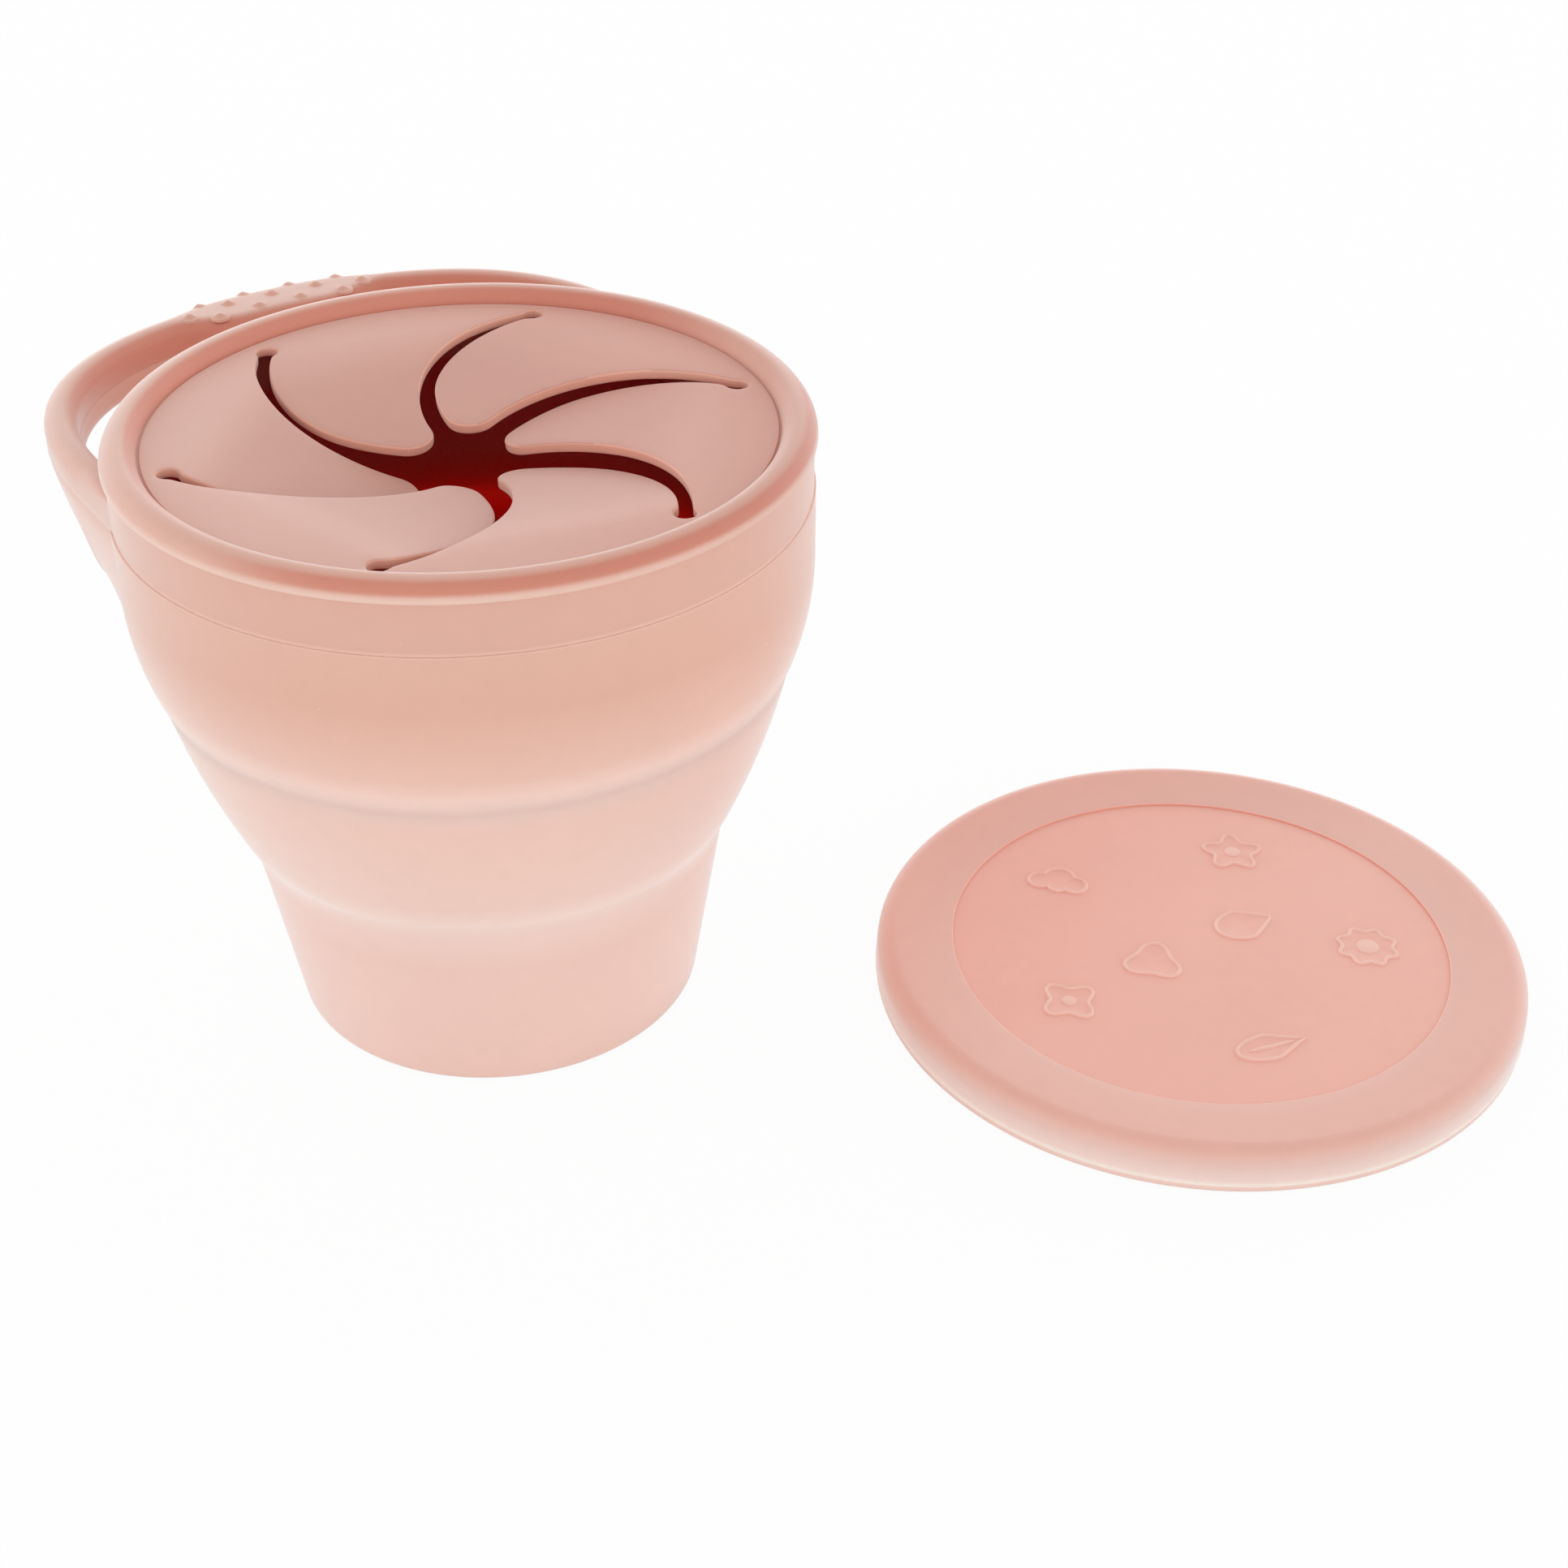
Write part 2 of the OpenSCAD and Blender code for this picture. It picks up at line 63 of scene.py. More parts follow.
# The lid: skirt, bead and disc, the slits with their relief holes, and the petals between them
SKIRT_R, SKIRT_IN_R = 45.5, 44.3
BEAD_C, BEAD_R, BEAD_FLANK, BEAD_Z = 43.28, 2.72, 2.06, 85.0
PETAL_T, PETAL_Z = 1.4, 85.0
DISC_Z, DISC_LOW_Z = PETAL_Z + PETAL_T / 2, PETAL_Z - PETAL_T / 2
HOLE_RING_R, HOLE_R, SLIT_R, SLIT_W, SLIT_LEAD = 37.85, 1.5, 22.84, 1.8, 54.5
TIP_ROUND, TIP_BACK, TIP_LEN, FIRST_HOLE_AZ = 3.4, 0.7, 9.0, 133.2
DROOP = [9 * share for share in (0.95, 0.65, 0.95, 1.3, 1.4, 2.0)]
BEND_LEN, SECTOR = 4.0, 60.0
ROOT_X = HOLE_RING_R * math.cos(math.radians(SECTOR / 2))
HOLE_Y = HOLE_RING_R / 2

# The handle: its line and section, the wider grip pad, the flare below the seam, and the rows of nubs
HANDLE_AZ, HANDLE_OFF, BAR_W, PAD_W, PAD_PUSH, UPPER_H = 115.0, 11.9, 4.6, 9.8, 1.2, 4.3
HANDLE_SPAN, PAD_FULL, PAD_END, BAR_ROUND = 97.0, 8.0, 20.0, 2.3
HANDLE_OUT, HANDLE_CORNER, FLARE_H, FLARE_FULL, FLARE_ROUND, BOND = 19.8, 17.3, 16.0, 0.7, 2.0, 0.3
NUB_PITCH, NUB_H = 7.75, 0.5
NUB_ROWS, SHOULDER_NUBS, SHOULDER_BACK = ((6.7, 4), (3.6, 5)), 4, 1.1

# The dust cover: brim and sunk panel
COVER_X, COVER_Y, COVER_H, COVER_R, COVER_IN_R, COVER_ROUND = 101.0, -18.0, 6.4, 47.0, 46.2, 2.7
BRIM_LOW_Z, BRIM_RISE, PANEL_R, PANEL_TOP_Z = 4.4, 0.7, 35.9, 5.4

# Details that follow the photo and are finer than the CAD: the angle on the bead where its outer slope ends
# in the skirt's edge, the foot of a nub, the groove round the disc, the dust cover's small rib and panel step
BEAD_EDGE, NUB_R = 5, 1.35
GROOVE, GROOVE_LIP, GROOVE_SOFT = 0.28, 0.42, 0.12
RIB_Z, RIB_OUT, RIB_HALF = 1.3, 0.15, 0.12
STEP_ROUND, LIP_ROUND = 0.06, 0.3

# How the meshes are drawn: steps round a turned piece (a multiple of the six petals), where the lid's rim
# piece ends and the petal pieces begin, the rounding of cut edges and of parting lines, and the hair's
# breadth that keeps the handle's two halves and the rims they lie on out of one plane
TURN, SEAM_OUT_R, EDGE, PART_ROUND, HAIR = 192, 40.2, 0.3, 0.05, 0.015


# ---------------------------------------------------------------- plane geometry
def unit(degrees):
    """The unit vector at an angle."""
    a = math.radians(degrees)
    return np.array([math.cos(a), math.sin(a)])


def turned(p, degrees):
    """A point turned about the origin."""
    c, s = unit(degrees)
    return np.array([p[0] * c - p[1] * s, p[0] * s + p[1] * c])


def angle_of(v):
    """The angle of a vector in degrees."""
    return math.degrees(math.atan2(v[1], v[0]))


def smooth(u):
    """A soft step that rises from 0 at 0 to 1 at 1."""
    u = np.clip(u, 0, 1)
    return u * u * (3 - 2 * u)


def circles_meet(c1, r1, c2, r2):
    """Where two circles cross, on the right of the way from the first centre to the second."""
    v = c2 - c1
    d = np.linalg.norm(v)
    a = (r1 * r1 - r2 * r2 + d * d) / (2 * d)
    h = math.sqrt(r1 * r1 - a * a)
    return c1 + v * (a / d) + np.array([v[1], -v[0]]) * (h / d)


def arc(centre, radius, a0, a1, n):
    """Points of an arc in n steps, both ends included."""
    return [np.asarray(centre, float) + radius * unit(a0 + (a1 - a0) * i / n) for i in range(n + 1)]


def rounded(corners):
    """An open path through corners (x, y, fillet radius), with an arc at each rounded one.

    No fillet takes half a side or more, and its arc is drawn in steps of about 12 degrees."""
    out = []
    for i, (x, y, r) in enumerate(corners):
        p = np.array([x, y], float)
        if r <= 0 or i in (0, len(corners) - 1):
            out.append(p)
            continue
        a = np.array(corners[i - 1][:2], float) - p
        b = np.array(corners[i + 1][:2], float) - p
        la, lb = np.linalg.norm(a), np.linalg.norm(b)
        a, b = a / la, b / lb
        half = math.acos(float(np.clip(a @ b, -1, 1))) / 2
        reach = min(r / math.tan(half), 0.49 * la, 0.49 * lb)
        r = reach * math.tan(half)
        mid = (a + b) / np.linalg.norm(a + b)
        centre = p + mid * (r / math.sin(half))
        s, e = angle_of(p + a * reach - centre), angle_of(p + b * reach - centre)
        sweep = (e - s + 180) % 360 - 180
        steps = max(2, int(abs(sweep) / 12))
        out += arc(centre, r, s, s + sweep, steps)
    return out


def spaced(points, step):
    """The same path with no stretch longer than step."""
    out = []
    for p, q in zip(points, points[1:]):
        n = max(1, int(math.ceil(np.linalg.norm(q - p) / step)))
        out += [p + (q - p) * k / n for k in range(n)]
    return out + [points[-1]]


# ---------------------------------------------------------------- meshes
# The plan direction turned from the soft light, on whose side shade is painted
SHADED_SIDE = (0.72, -0.69)


def painted_shade_share(at, normal):
    """How much painted shade a surface takes: faces toward the cup's axis and slopes on the side turned from
    the light, each with soft limits."""
    flat = max(1e-6, math.hypot(normal.x, normal.y))
    right = (SHADED_SIDE[0] * normal.x + SHADED_SIDE[1] * normal.y) / flat
    inward = -(normal.x * at.x + normal.y * at.y) / max(1e-6, math.hypot(at.x, at.y))
    if inward > 0:
        return float(smooth((inward - 0.2) / 0.45) * smooth((right + 0.45) / 0.7))
    sloped = smooth((normal.z - 0.3) / 0.25) * smooth((0.985 - normal.z) / 0.16)
    return float(sloped * smooth((right + 0.1) / 0.5))


def mesh_object(name, verts, faces, scale=MM):
    """A smooth mesh with its faces turned outward, linked into the scene."""
    mesh = bpy.data.meshes.new(name)
    mesh.from_pydata([tuple(scale * c for c in v) for v in verts], [], faces)
    mesh.validate()
    mesh.shade_smooth()
    middle = sum((v.co for v in mesh.vertices), Vector()) / len(mesh.vertices)
    if sum((face.center - middle).dot(face.normal) * face.area for face in mesh.polygons) < 0:
        mesh.flip_normals()
    # Height at rest and the share of painted shade (toward the axis, turned from the light), for the materials
    for key, value in (("rest_z", lambda v: v.co.z), ("painted_shade_share", lambda v: painted_shade_share(v.co, v.normal))):
        attribute = mesh.attributes.new(key, "FLOAT", "POINT")
        attribute.data.foreach_set("value", [value(v) for v in mesh.vertices])
    obj = bpy.data.objects.new(name, mesh)
    bpy.context.scene.collection.objects.link(obj)
    return obj


def band(a, b):
    """Faces between two closed rows of points."""
    return [[a[i], a[j], b[j], b[i]] for i, j in zip(range(len(a)), [*range(1, len(a)), 0])]


def revolve(name, outline, phase=0.0, centre=(0.0, 0.0)):
    """A turned piece from an outline in (radius, height), with the material on the outline's left."""
    verts, faces, rows = [], [], []
    for r, z in outline:
        if r < 1e-6:
            rows.append([len(verts)] * TURN)
            verts.append((centre[0], centre[1], z))
            continue
        rows.append(list(range(len(verts), len(verts) + TURN)))
        for k in range(TURN):
            c, s = unit(phase + 360 * k / TURN)
            verts.append((centre[0] + r * c, centre[1] + r * s, z))
    for a, b in zip(rows, rows[1:]):
        for face in band(a, b):
            face = [v for j, v in enumerate(face) if v != face[j - 1]]
            if len(face) > 2:
                faces.append(face)
    return mesh_object(name, verts, faces)


def lofted(name, rings):
    """A closed solid through rings of equal length, with flat ends."""
    n = len(rings[0])
    rows = [list(range(k * n, (k + 1) * n)) for k in range(len(rings))]
    faces = [face for a, b in zip(rows, rows[1:]) for face in band(a, b)]
    faces += [rows[0][::-1], rows[-1]]
    return mesh_object(name, [v for ring in rings for v in ring], faces)


# ---------------------------------------------------------------- cup
def cup_outline():
    """Outline of the whole cup wall: foot, three bands with their folds, rim, neck, and back down inside."""
    def bulged(p, q, sag, n):
        """Points from p to q on a line that swells outward by sag at its middle."""
        v = (q - p) / np.linalg.norm(q - p)
        out = np.array([v[1], -v[0]])
        return [p + (q - p) * u + out * 4 * sag * u * (1 - u) for u in np.linspace(0, 1, n + 1)[1:]]

    base = rounded([(0, 0, 0), (FOOT_R, 0, FOOT_ROUND), (BASE_TOP_R, FOLD1_Z, 0)])
    outer = base[:-1] + [base[-2] + (base[-1] - base[-2]) * k / 16 for k in range(1, 17)]
    outer += [np.array([BASE_TOP_R + (MID_BOT_R - BASE_TOP_R) * u * u, FOLD1_Z + (MID_Z - FOLD1_Z) * u])
              for u in np.linspace(0, 1, 13)[1:]]
    outer += bulged(outer[-1], np.array([MID_TOP_R, FOLD2_Z]), MID_BULGE, 36)
    outer += [np.array([MID_TOP_R + (TOP_BOT_R - MID_TOP_R) * u ** 1.5, FOLD2_Z + (TOP_Z - FOLD2_Z) * u])
              for u in np.linspace(0, 1, 7)[1:]]
    outer += arc((RIM_R - SHOULDER_R, TOP_Z + SHOULDER_H), SHOULDER_R,
                 -math.degrees(math.asin(SHOULDER_H / SHOULDER_R)), 0, 20)[1:]

    def wall(z):
        """The wall's thickness at a height: thinner in the two folds."""
        if z < FOLD1_Z:
            return WALL
        if z < MID_Z:
            return WALL + (WEB_T - WALL) * math.sin(math.pi * (z - FOLD1_Z) / (MID_Z - FOLD1_Z))
        if z < FOLD2_Z:
            return WALL
        if z < TOP_Z:
            return WALL + (HINGE_T - WALL) * (z - FOLD2_Z) / (TOP_Z - FOLD2_Z)
        return HINGE_T + (WALL - HINGE_T) * min(1.0, (z - TOP_Z) / HINGE_TAPER)

    inner = [np.array([p[0] - wall(p[1]), p[1]]) for p in outer if p[1] > FLOOR_T + FLOOR_ROUND]
    join_z = SEAM_Z - 6
    rim = rounded([(RIM_R, join_z, 0), (RIM_R, SEAM_Z, PART_ROUND), (NECK_R, SEAM_Z, 0.3),
                   (NECK_R, NECK_Z, 0.5), (NECK_R - NECK_T, NECK_Z, 0.5),
                   (NECK_R - NECK_T, SEAM_Z - NECK_ROOT / 2, 1.0),
                   (RIM_R - WALL, SEAM_Z - NECK_ROOT, 1.0), (RIM_R - WALL, join_z, 0)])
    in_r = FOOT_R + (BASE_TOP_R - FOOT_R) * (FLOOR_T + FLOOR_ROUND) / FOLD1_Z - WALL
    floor = arc((in_r - FLOOR_ROUND, FLOOR_T + FLOOR_ROUND), FLOOR_ROUND, 0, -90, 8)
    floor.append(np.array([0, FLOOR_T]))
    return outer + rim[1:] + inner[::-1][1:] + floor


def make_cup():
    return revolve("cup_wall", spaced(cup_outline(), 1.5))


# ---------------------------------------------------------------- lid
def make_lid_rim():
    """The skirt, the bead and the ring of the disc outside the petals, with the fine groove between."""
    bead = arc((BEAD_C, BEAD_Z), BEAD_R, BEAD_EDGE, 90, 24)
    flank_end = 180 - math.degrees(math.asin((DISC_Z - BEAD_Z) / BEAD_R))
    flank = [np.array([BEAD_C + BEAD_FLANK * unit(a)[0], BEAD_Z + BEAD_R * unit(a)[1]])
             for a in np.linspace(90, flank_end, 14)[1:]]
    groove_r, groove_z = flank[-1][0], DISC_Z - GROOVE
    foot = rounded([(*flank[-2], 0), (groove_r, groove_z, GROOVE_SOFT), (groove_r - GROOVE, groove_z, 0.1),
                    (groove_r - GROOVE_LIP, DISC_Z, GROOVE_SOFT), (SEAM_OUT_R, DISC_Z, 0)])
    edge_r, edge_z = bead[0]
    skirt = rounded([(SEAM_OUT_R, DISC_LOW_Z, 0), (SKIRT_IN_R, DISC_LOW_Z, 0.5), (SKIRT_IN_R, SEAM_Z, 0.3),
                     (SKIRT_R, SEAM_Z, PART_ROUND), (SKIRT_R, edge_z - 0.3, 0.1),
                     (edge_r - 0.05, edge_z - 0.08, 0.05), (*bead[1], 0)])
    outline = skirt[:-1] + bead[1:] + flank[:-2] + foot
    return revolve("lid_rim", spaced(outline, 1.2), phase=FIRST_HOLE_AZ)


def cut_line():
    """The cut edge of one petal in its own frame: hole, convex side, tip, concave side, hole."""
    slit_c = np.array([HOLE_RING_R - SLIT_R * unit(SLIT_LEAD)[1], -SLIT_R * unit(SLIT_LEAD)[0]])
    convex_c, concave_c = turned(slit_c, SECTOR / 2), turned(slit_c, -SECTOR / 2)
    convex_r, concave_r = SLIT_R - SLIT_W / 2, SLIT_R + SLIT_W / 2
    tip_c = circles_meet(convex_c, convex_r - TIP_ROUND, concave_c, concave_r + TIP_ROUND)
    hole_a, hole_b = np.array([ROOT_X, HOLE_Y]), np.array([ROOT_X, -HOLE_Y])

    def back(p):
        """The petal's tip drawn back a little, fading out along its length."""
        return p + np.array([TIP_BACK * smooth((tip_c[0] - TIP_ROUND + TIP_LEN - p[0]) / TIP_LEN), 0])

    start, end = angle_of(hole_a - convex_c), angle_of(tip_c - convex_c)
    convex = [p for p in arc(convex_c, convex_r, start, end, 400) if np.linalg.norm(p - hole_a) > HOLE_R]
    tip = arc(tip_c, TIP_ROUND, angle_of(tip_c - convex_c), angle_of(concave_c - tip_c) + 360, 60)
    start, end = angle_of(tip_c - concave_c), angle_of(hole_b - concave_c)
    concave = [p for p in arc(concave_c, concave_r, start, end, 400) if np.linalg.norm(p - hole_b) > HOLE_R]
    a_end = angle_of(convex[0] - hole_a)
    if a_end > SECTOR / 2:
        a_end -= 360
    b_start = angle_of(concave[-1] - hole_b)
    if b_start < -SECTOR / 2:
        b_start += 360
    side_a = arc(hole_a, HOLE_R, SECTOR / 2, a_end, 60)
    side_b = arc(hole_b, HOLE_R, b_start, -SECTOR / 2, 60)
    line = np.array(side_a[:-1] + [back(p) for p in convex + tip[1:-1] + concave] + side_b[1:])
    # Even spacing, then a light smoothing that rounds the corners where a slit opens into its hole
    fine, coarse, width = 0.08, 0.5, 5
    s = np.concatenate([[0], np.cumsum(np.linalg.norm(np.diff(line, axis=0), axis=1))])
    even = np.linspace(0, s[-1], int(s[-1] / fine))
    line = np.stack([np.interp(even, s, line[:, k]) for k in (0, 1)], axis=1)
    ends = line[0].copy(), line[-1].copy()
    kernel = np.exp(-0.5 * (np.arange(-3 * width, 3 * width + 1) / width) ** 2)
    kernel /= kernel.sum()
    padded = np.concatenate([2 * line[0] - line[3 * width:0:-1], line,
                             2 * line[-1] - line[-2:-3 * width - 2:-1]])
    line = np.stack([np.convolve(padded[:, k], kernel, "valid") for k in (0, 1)], axis=1)
    line[0], line[-1] = ends
    return line[np.linspace(0, len(line) - 1, int(s[-1] / coarse)).round().astype(int)]


def petal_plate():
    """Flat plate of one petal with its share of the lid's disc, its cut edge rounded: points and faces."""
    cut = cut_line()
    along = np.gradient(cut, axis=0)
    normal = np.stack([-along[:, 1], along[:, 0]], axis=1)
    normal /= np.linalg.norm(normal, axis=1)[:, None]
    # Normals point into the petal, toward a point near its root
    middle = np.array([ROOT_X - 8, 0])
    if ((middle - cut) * normal).sum(1).mean() < 0:
        normal = -normal
    normal[0], normal[-1] = unit(SECTOR / 2), unit(-SECTOR / 2)
    inner = cut + EDGE * normal
    outer_arc = [SEAM_OUT_R * unit(a) for a in np.linspace(-SECTOR / 2, SECTOR / 2, TURN // 6 + 1)]
    loop = [tuple(p) for p in inner] + [tuple(p) for p in outer_arc]
    ring = np.array(loop)
    # A grid of even triangles inside, clear of the outline so that no sliver forms
    step, row_height, clear, margin = 1.3, 0.866, 0.55, 0.6
    grid = []
    for j in range(-40, 41):
        for i in range(-10, 60):
            x, y = step * (i + 0.5 * (j % 2)), step * row_height * j
            if math.hypot(x, y) < SEAM_OUT_R - margin and inside((x, y), ring):
                if np.min(np.linalg.norm(ring - np.array([x, y]), axis=1)) > clear * step:
                    grid.append((x, y))
    count = len(loop)
    flat = [Vector(p) for p in loop + grid]
    points, _, faces, *_ = delaunay_2d_cdt(flat, [], [list(range(count))], 1, 1e-6)
    assert len(points) == count + len(grid)
    faces = [list(f) if ccw(points, f) else list(f)[::-1] for f in faces]
    top = [(p[0], p[1], PETAL_T / 2) for p in points]
    verts = top + [(p[0], p[1], -PETAL_T / 2) for p in points]
    low = len(points)
    out = list(faces) + [[v + low for v in f[::-1]] for f in faces]
    rows = [list(range(len(cut)))]
    straight = PETAL_T / 2 - EDGE
    wall = [(unit(a)[0], straight + EDGE * unit(a)[1]) for a in (67.5, 45, 22.5, 0)]
    wall += [(1, 0)] + [(c, -z) for c, z in wall[::-1]]
    for c, z in wall:
        rows.append(list(range(len(verts), len(verts) + len(cut))))
        verts += [tuple(p + n * EDGE * (1 - c)) + (z,) for p, n in zip(cut, normal)]
    rows.append([low + i for i in range(len(cut))])
    flip = not ccw([Vector(p) for p in loop], list(range(count)))
    for a, b in zip(rows, rows[1:]):
        for i in range(len(cut) - 1):
            face = [a[i], b[i], b[i + 1], a[i + 1]]
            out.append(face[::-1] if flip else face)
    return verts, out


def inside(p, ring):
    """Whether a point lies inside a closed outline."""
    x, y = p
    a, b = ring, np.roll(ring, -1, axis=0)
    cross = (a[:, 1] > y) != (b[:, 1] > y)
    with np.errstate(divide="ignore", invalid="ignore"):
        at = (b[:, 0] - a[:, 0]) * (y - a[:, 1]) / (b[:, 1] - a[:, 1]) + a[:, 0]
    return bool(np.count_nonzero(cross & (x < at)) % 2)


def ccw(points, face):
    """Whether a face's points run anticlockwise."""
    area = 0
    for i, v in enumerate(face):
        p, q = points[v], points[face[(i + 1) % len(face)]]
        area += p[0] * q[1] - q[0] * p[1]
    return area > 0


def make_petals():
    """The six petals, each drooping by its own angle from a soft bend at its root, with their directions."""
    verts, faces = petal_plate()
    v = np.array(verts)
    made = []
    for i in range(6):
        fall = math.radians(DROOP[i])
        d = np.maximum(0, ROOT_X - v[:, 0])
        root = np.sqrt(d * d + BEND_LEN ** 2)
        run, slope = root - BEND_LEN, fall * d / root
        x = v[:, 0] + (1 - math.cos(fall)) * run - v[:, 2] * np.sin(slope)
        z = PETAL_Z - math.sin(fall) * run + v[:, 2] * np.cos(slope)
        az = FIRST_HOLE_AZ - SECTOR * (i + 0.5)
        c, s = unit(az)
        placed = np.stack([x * c - v[:, 1] * s, x * s + v[:, 1] * c, z], axis=1)
        made.append((mesh_object(f"petal_{i + 1}_sheet", placed.tolist(), faces), az))
    return made


# ---------------------------------------------------------------- handle
def to_circle(a, r):
    """How far a circle about the lid's axis lies from the handle's middle, at an angle."""
    return math.sqrt(r * r - (HANDLE_OFF * unit(a)[1]) ** 2) - HANDLE_OFF * unit(a)[0]


# The bar's outer side at its middle, its corners (45 degrees) and its ends (90 degrees), and the terms of the
# smooth line through them
REACH_MID = SKIRT_R + HANDLE_OUT - HANDLE_OFF
REACH_CORNER = to_circle(45, SKIRT_R) + HANDLE_CORNER
REACH_SIDE = to_circle(90, SKIRT_R) + BOND
OUT_MEAN = (REACH_MID + REACH_SIDE + 2 * REACH_CORNER) / 4
OUT_LONG = (REACH_MID - REACH_SIDE) / 2
OUT_SQUARE = (REACH_MID + REACH_SIDE) / 2 - OUT_MEAN


def pad_share(a):
    """1 on the grip pad, 0 on the plain bar."""
    return smooth((PAD_END - abs(a)) / (PAD_END - PAD_FULL))


def bar_out(a):
    """The bar's outer side from the handle's middle, at an angle."""
    return OUT_MEAN + OUT_LONG * unit(2 * a)[0] + OUT_SQUARE * unit(4 * a)[0] + PAD_PUSH * pad_share(a)


def bar_in(a):
    """The bar's inner side, which ends in the skirt."""
    width = BAR_W + (PAD_W - BAR_W) * pad_share(a)
    return max(bar_out(a) - width, to_circle(a, SKIRT_R - BOND))


def on_handle(a, d, z):
    """The place at an angle and a distance from the handle's middle."""
    p = turned(np.array([HANDLE_OFF, 0]) + d * unit(a), HANDLE_AZ)
    return (p[0], p[1], z)


def upper_ring(a):
    """Section of the lid's half of the handle: flat foot on the seam, rounded shoulders."""
    d_in = bar_in(a)
    d_out = max(bar_out(a), d_in + BOND)
    soft = min(BAR_ROUND, 0.48 * (d_out - d_in))
    high = SEAM_Z + UPPER_H
    low = min(PART_ROUND, (d_out - d_in) / 4)
    foot = SEAM_Z + HAIR
    path = [np.array([d_in + low, foot]), np.array([d_in + low * 0.3, foot + low * 0.3]),
            np.array([d_in, foot + low])]
    path += [np.array([d_in + soft, high - soft]) + soft * unit(180 - 90 * k / 8) for k in range(9)]
    crest = d_out - d_in - 2 * soft
    path += [np.array([d_in + soft + crest * k / 4, high]) for k in range(1, 4)]
    path += [np.array([d_out - soft, high - soft]) + soft * unit(90 - 90 * k / 8) for k in range(9)]
    path += [np.array([d_out, foot + low]), np.array([d_out - low * 0.3, foot + low * 0.3]),
             np.array([d_out - low, foot])]
    return [on_handle(a, p[0], p[1]) for p in path]


def top_r(z):
    """Radius of the cup's top band at a height."""
    h = max(0, TOP_Z + SHOULDER_H - z)
    return RIM_R - SHOULDER_R + math.sqrt(SHOULDER_R * SHOULDER_R - h * h)


def flare_ring(a):
    """Section of the cup's half of the handle: flat head at the seam, drawn down and in to the cup's wall."""
    d_in = bar_in(a)
    d_out = max(bar_out(a), d_in + BOND)
    low_z = SEAM_Z - FLARE_H
    wall_d, foot_d = to_circle(a, RIM_R - BOND), to_circle(a, top_r(low_z) - BOND)
    u = max(0, (d_in - wall_d) / (d_out - wall_d))
    corner = np.array([d_in + (foot_d - wall_d) * (1 - u) * smooth(1 - 4 * u), low_z + FLARE_H * u])
    soft = max(BOND / 4, min(FLARE_ROUND, (SEAM_Z - corner[1]) / 2) * smooth(6 * u))
    top = np.array([d_out, SEAM_Z])
    mid = (top + corner) / 2
    full = mid + (np.array([d_out, corner[1]]) - mid) * FLARE_FULL
    slope = full - corner
    start, end = corner + slope * (soft / np.linalg.norm(slope)), corner + np.array([0, soft])
    low = min(PART_ROUND, (d_out - d_in) / 4)
    head = SEAM_Z - HAIR
    path = [np.array([d_in, head - low]), np.array([d_in + low * 0.3, head - low * 0.3]),
            np.array([d_in + low, head]), np.array([d_out - low, head]),
            np.array([d_out - low * 0.3, head - low * 0.3])]
    near = np.array([d_out, SEAM_Z - low])
    path += [near * (1 - t) ** 2 + full * 2 * t * (1 - t) + start * t * t for t in np.linspace(0, 1, 9)[:-1]]
    path += [start * (1 - t) ** 2 + corner * 2 * t * (1 - t) + end * t * t for t in np.linspace(0, 1, 8)]
    path += [end + (path[0] - end) * k / 4 for k in range(1, 4)]
    return [on_handle(a, p[0], p[1]) for p in path]


def make_handles():
    """The handle's two halves: the lid's above the seam and the cup's below it."""
    stations = np.linspace(-HANDLE_SPAN, HANDLE_SPAN, 181)
    upper = lofted("handle_top", [upper_ring(a) for a in stations][::-1])
    lower = lofted("handle_flare", [flare_ring(a) for a in stations])
    return upper, lower


def make_nubs():
    """Low soft domes with a faint fillet at the foot, one mesh."""
    sunk, skirt, turn = 0.03, 1.12, 28
    profile = [(NUB_R * k / 10, NUB_H * (0.5 + 0.5 * math.cos(math.pi * k / 10)) - sunk) for k in range(11)]
    profile += [(NUB_R * skirt, -0.06), (NUB_R * skirt, -0.4)]
    spots = []
    for back, count in NUB_ROWS:
        for i in range(count):
            a = NUB_PITCH * (i - (count - 1) / 2)
            spots.append((on_handle(a, bar_out(a) - back, SEAM_Z + UPPER_H), 0, a))
    tilt = math.asin((BAR_ROUND - SHOULDER_BACK) / BAR_ROUND)
    drop = BAR_ROUND * (1 - math.cos(tilt))
    for i in range(SHOULDER_NUBS):
        a = NUB_PITCH * (i - (SHOULDER_NUBS - 1) / 2)
        spots.append((on_handle(a, bar_out(a) - SHOULDER_BACK, SEAM_Z + UPPER_H - drop), tilt, a))
    verts, faces = [], []
    for at, lean, a in spots:
        m = Matrix.Translation(at) @ Matrix.Rotation(math.radians(HANDLE_AZ + a), 4, "Z")
        m = m @ Matrix.Rotation(lean, 4, "Y")
        first = len(verts)
        verts.append(tuple(m @ Vector((0, 0, profile[0][1]))))
        for r, z in profile[1:]:
            for k in range(turn):
                c, s = unit(360 * k / turn)
                bend = BAR_ROUND - math.sqrt(BAR_ROUND ** 2 - (r * c) ** 2) if lean else 0
                verts.append(tuple(m @ Vector((r * c, r * s, z - bend))))
        for k in range(turn):
            faces.append([first, first + 1 + k, first + 1 + (k + 1) % turn])
        for j in range(len(profile) - 2):
            p, q = first + 1 + j * turn, first + 1 + (j + 1) * turn
            for k in range(turn):
                n = (k + 1) % turn
                faces.append([p + k, q + k, q + n, p + n])
    return mesh_object("grip_nub_domes", verts, faces)


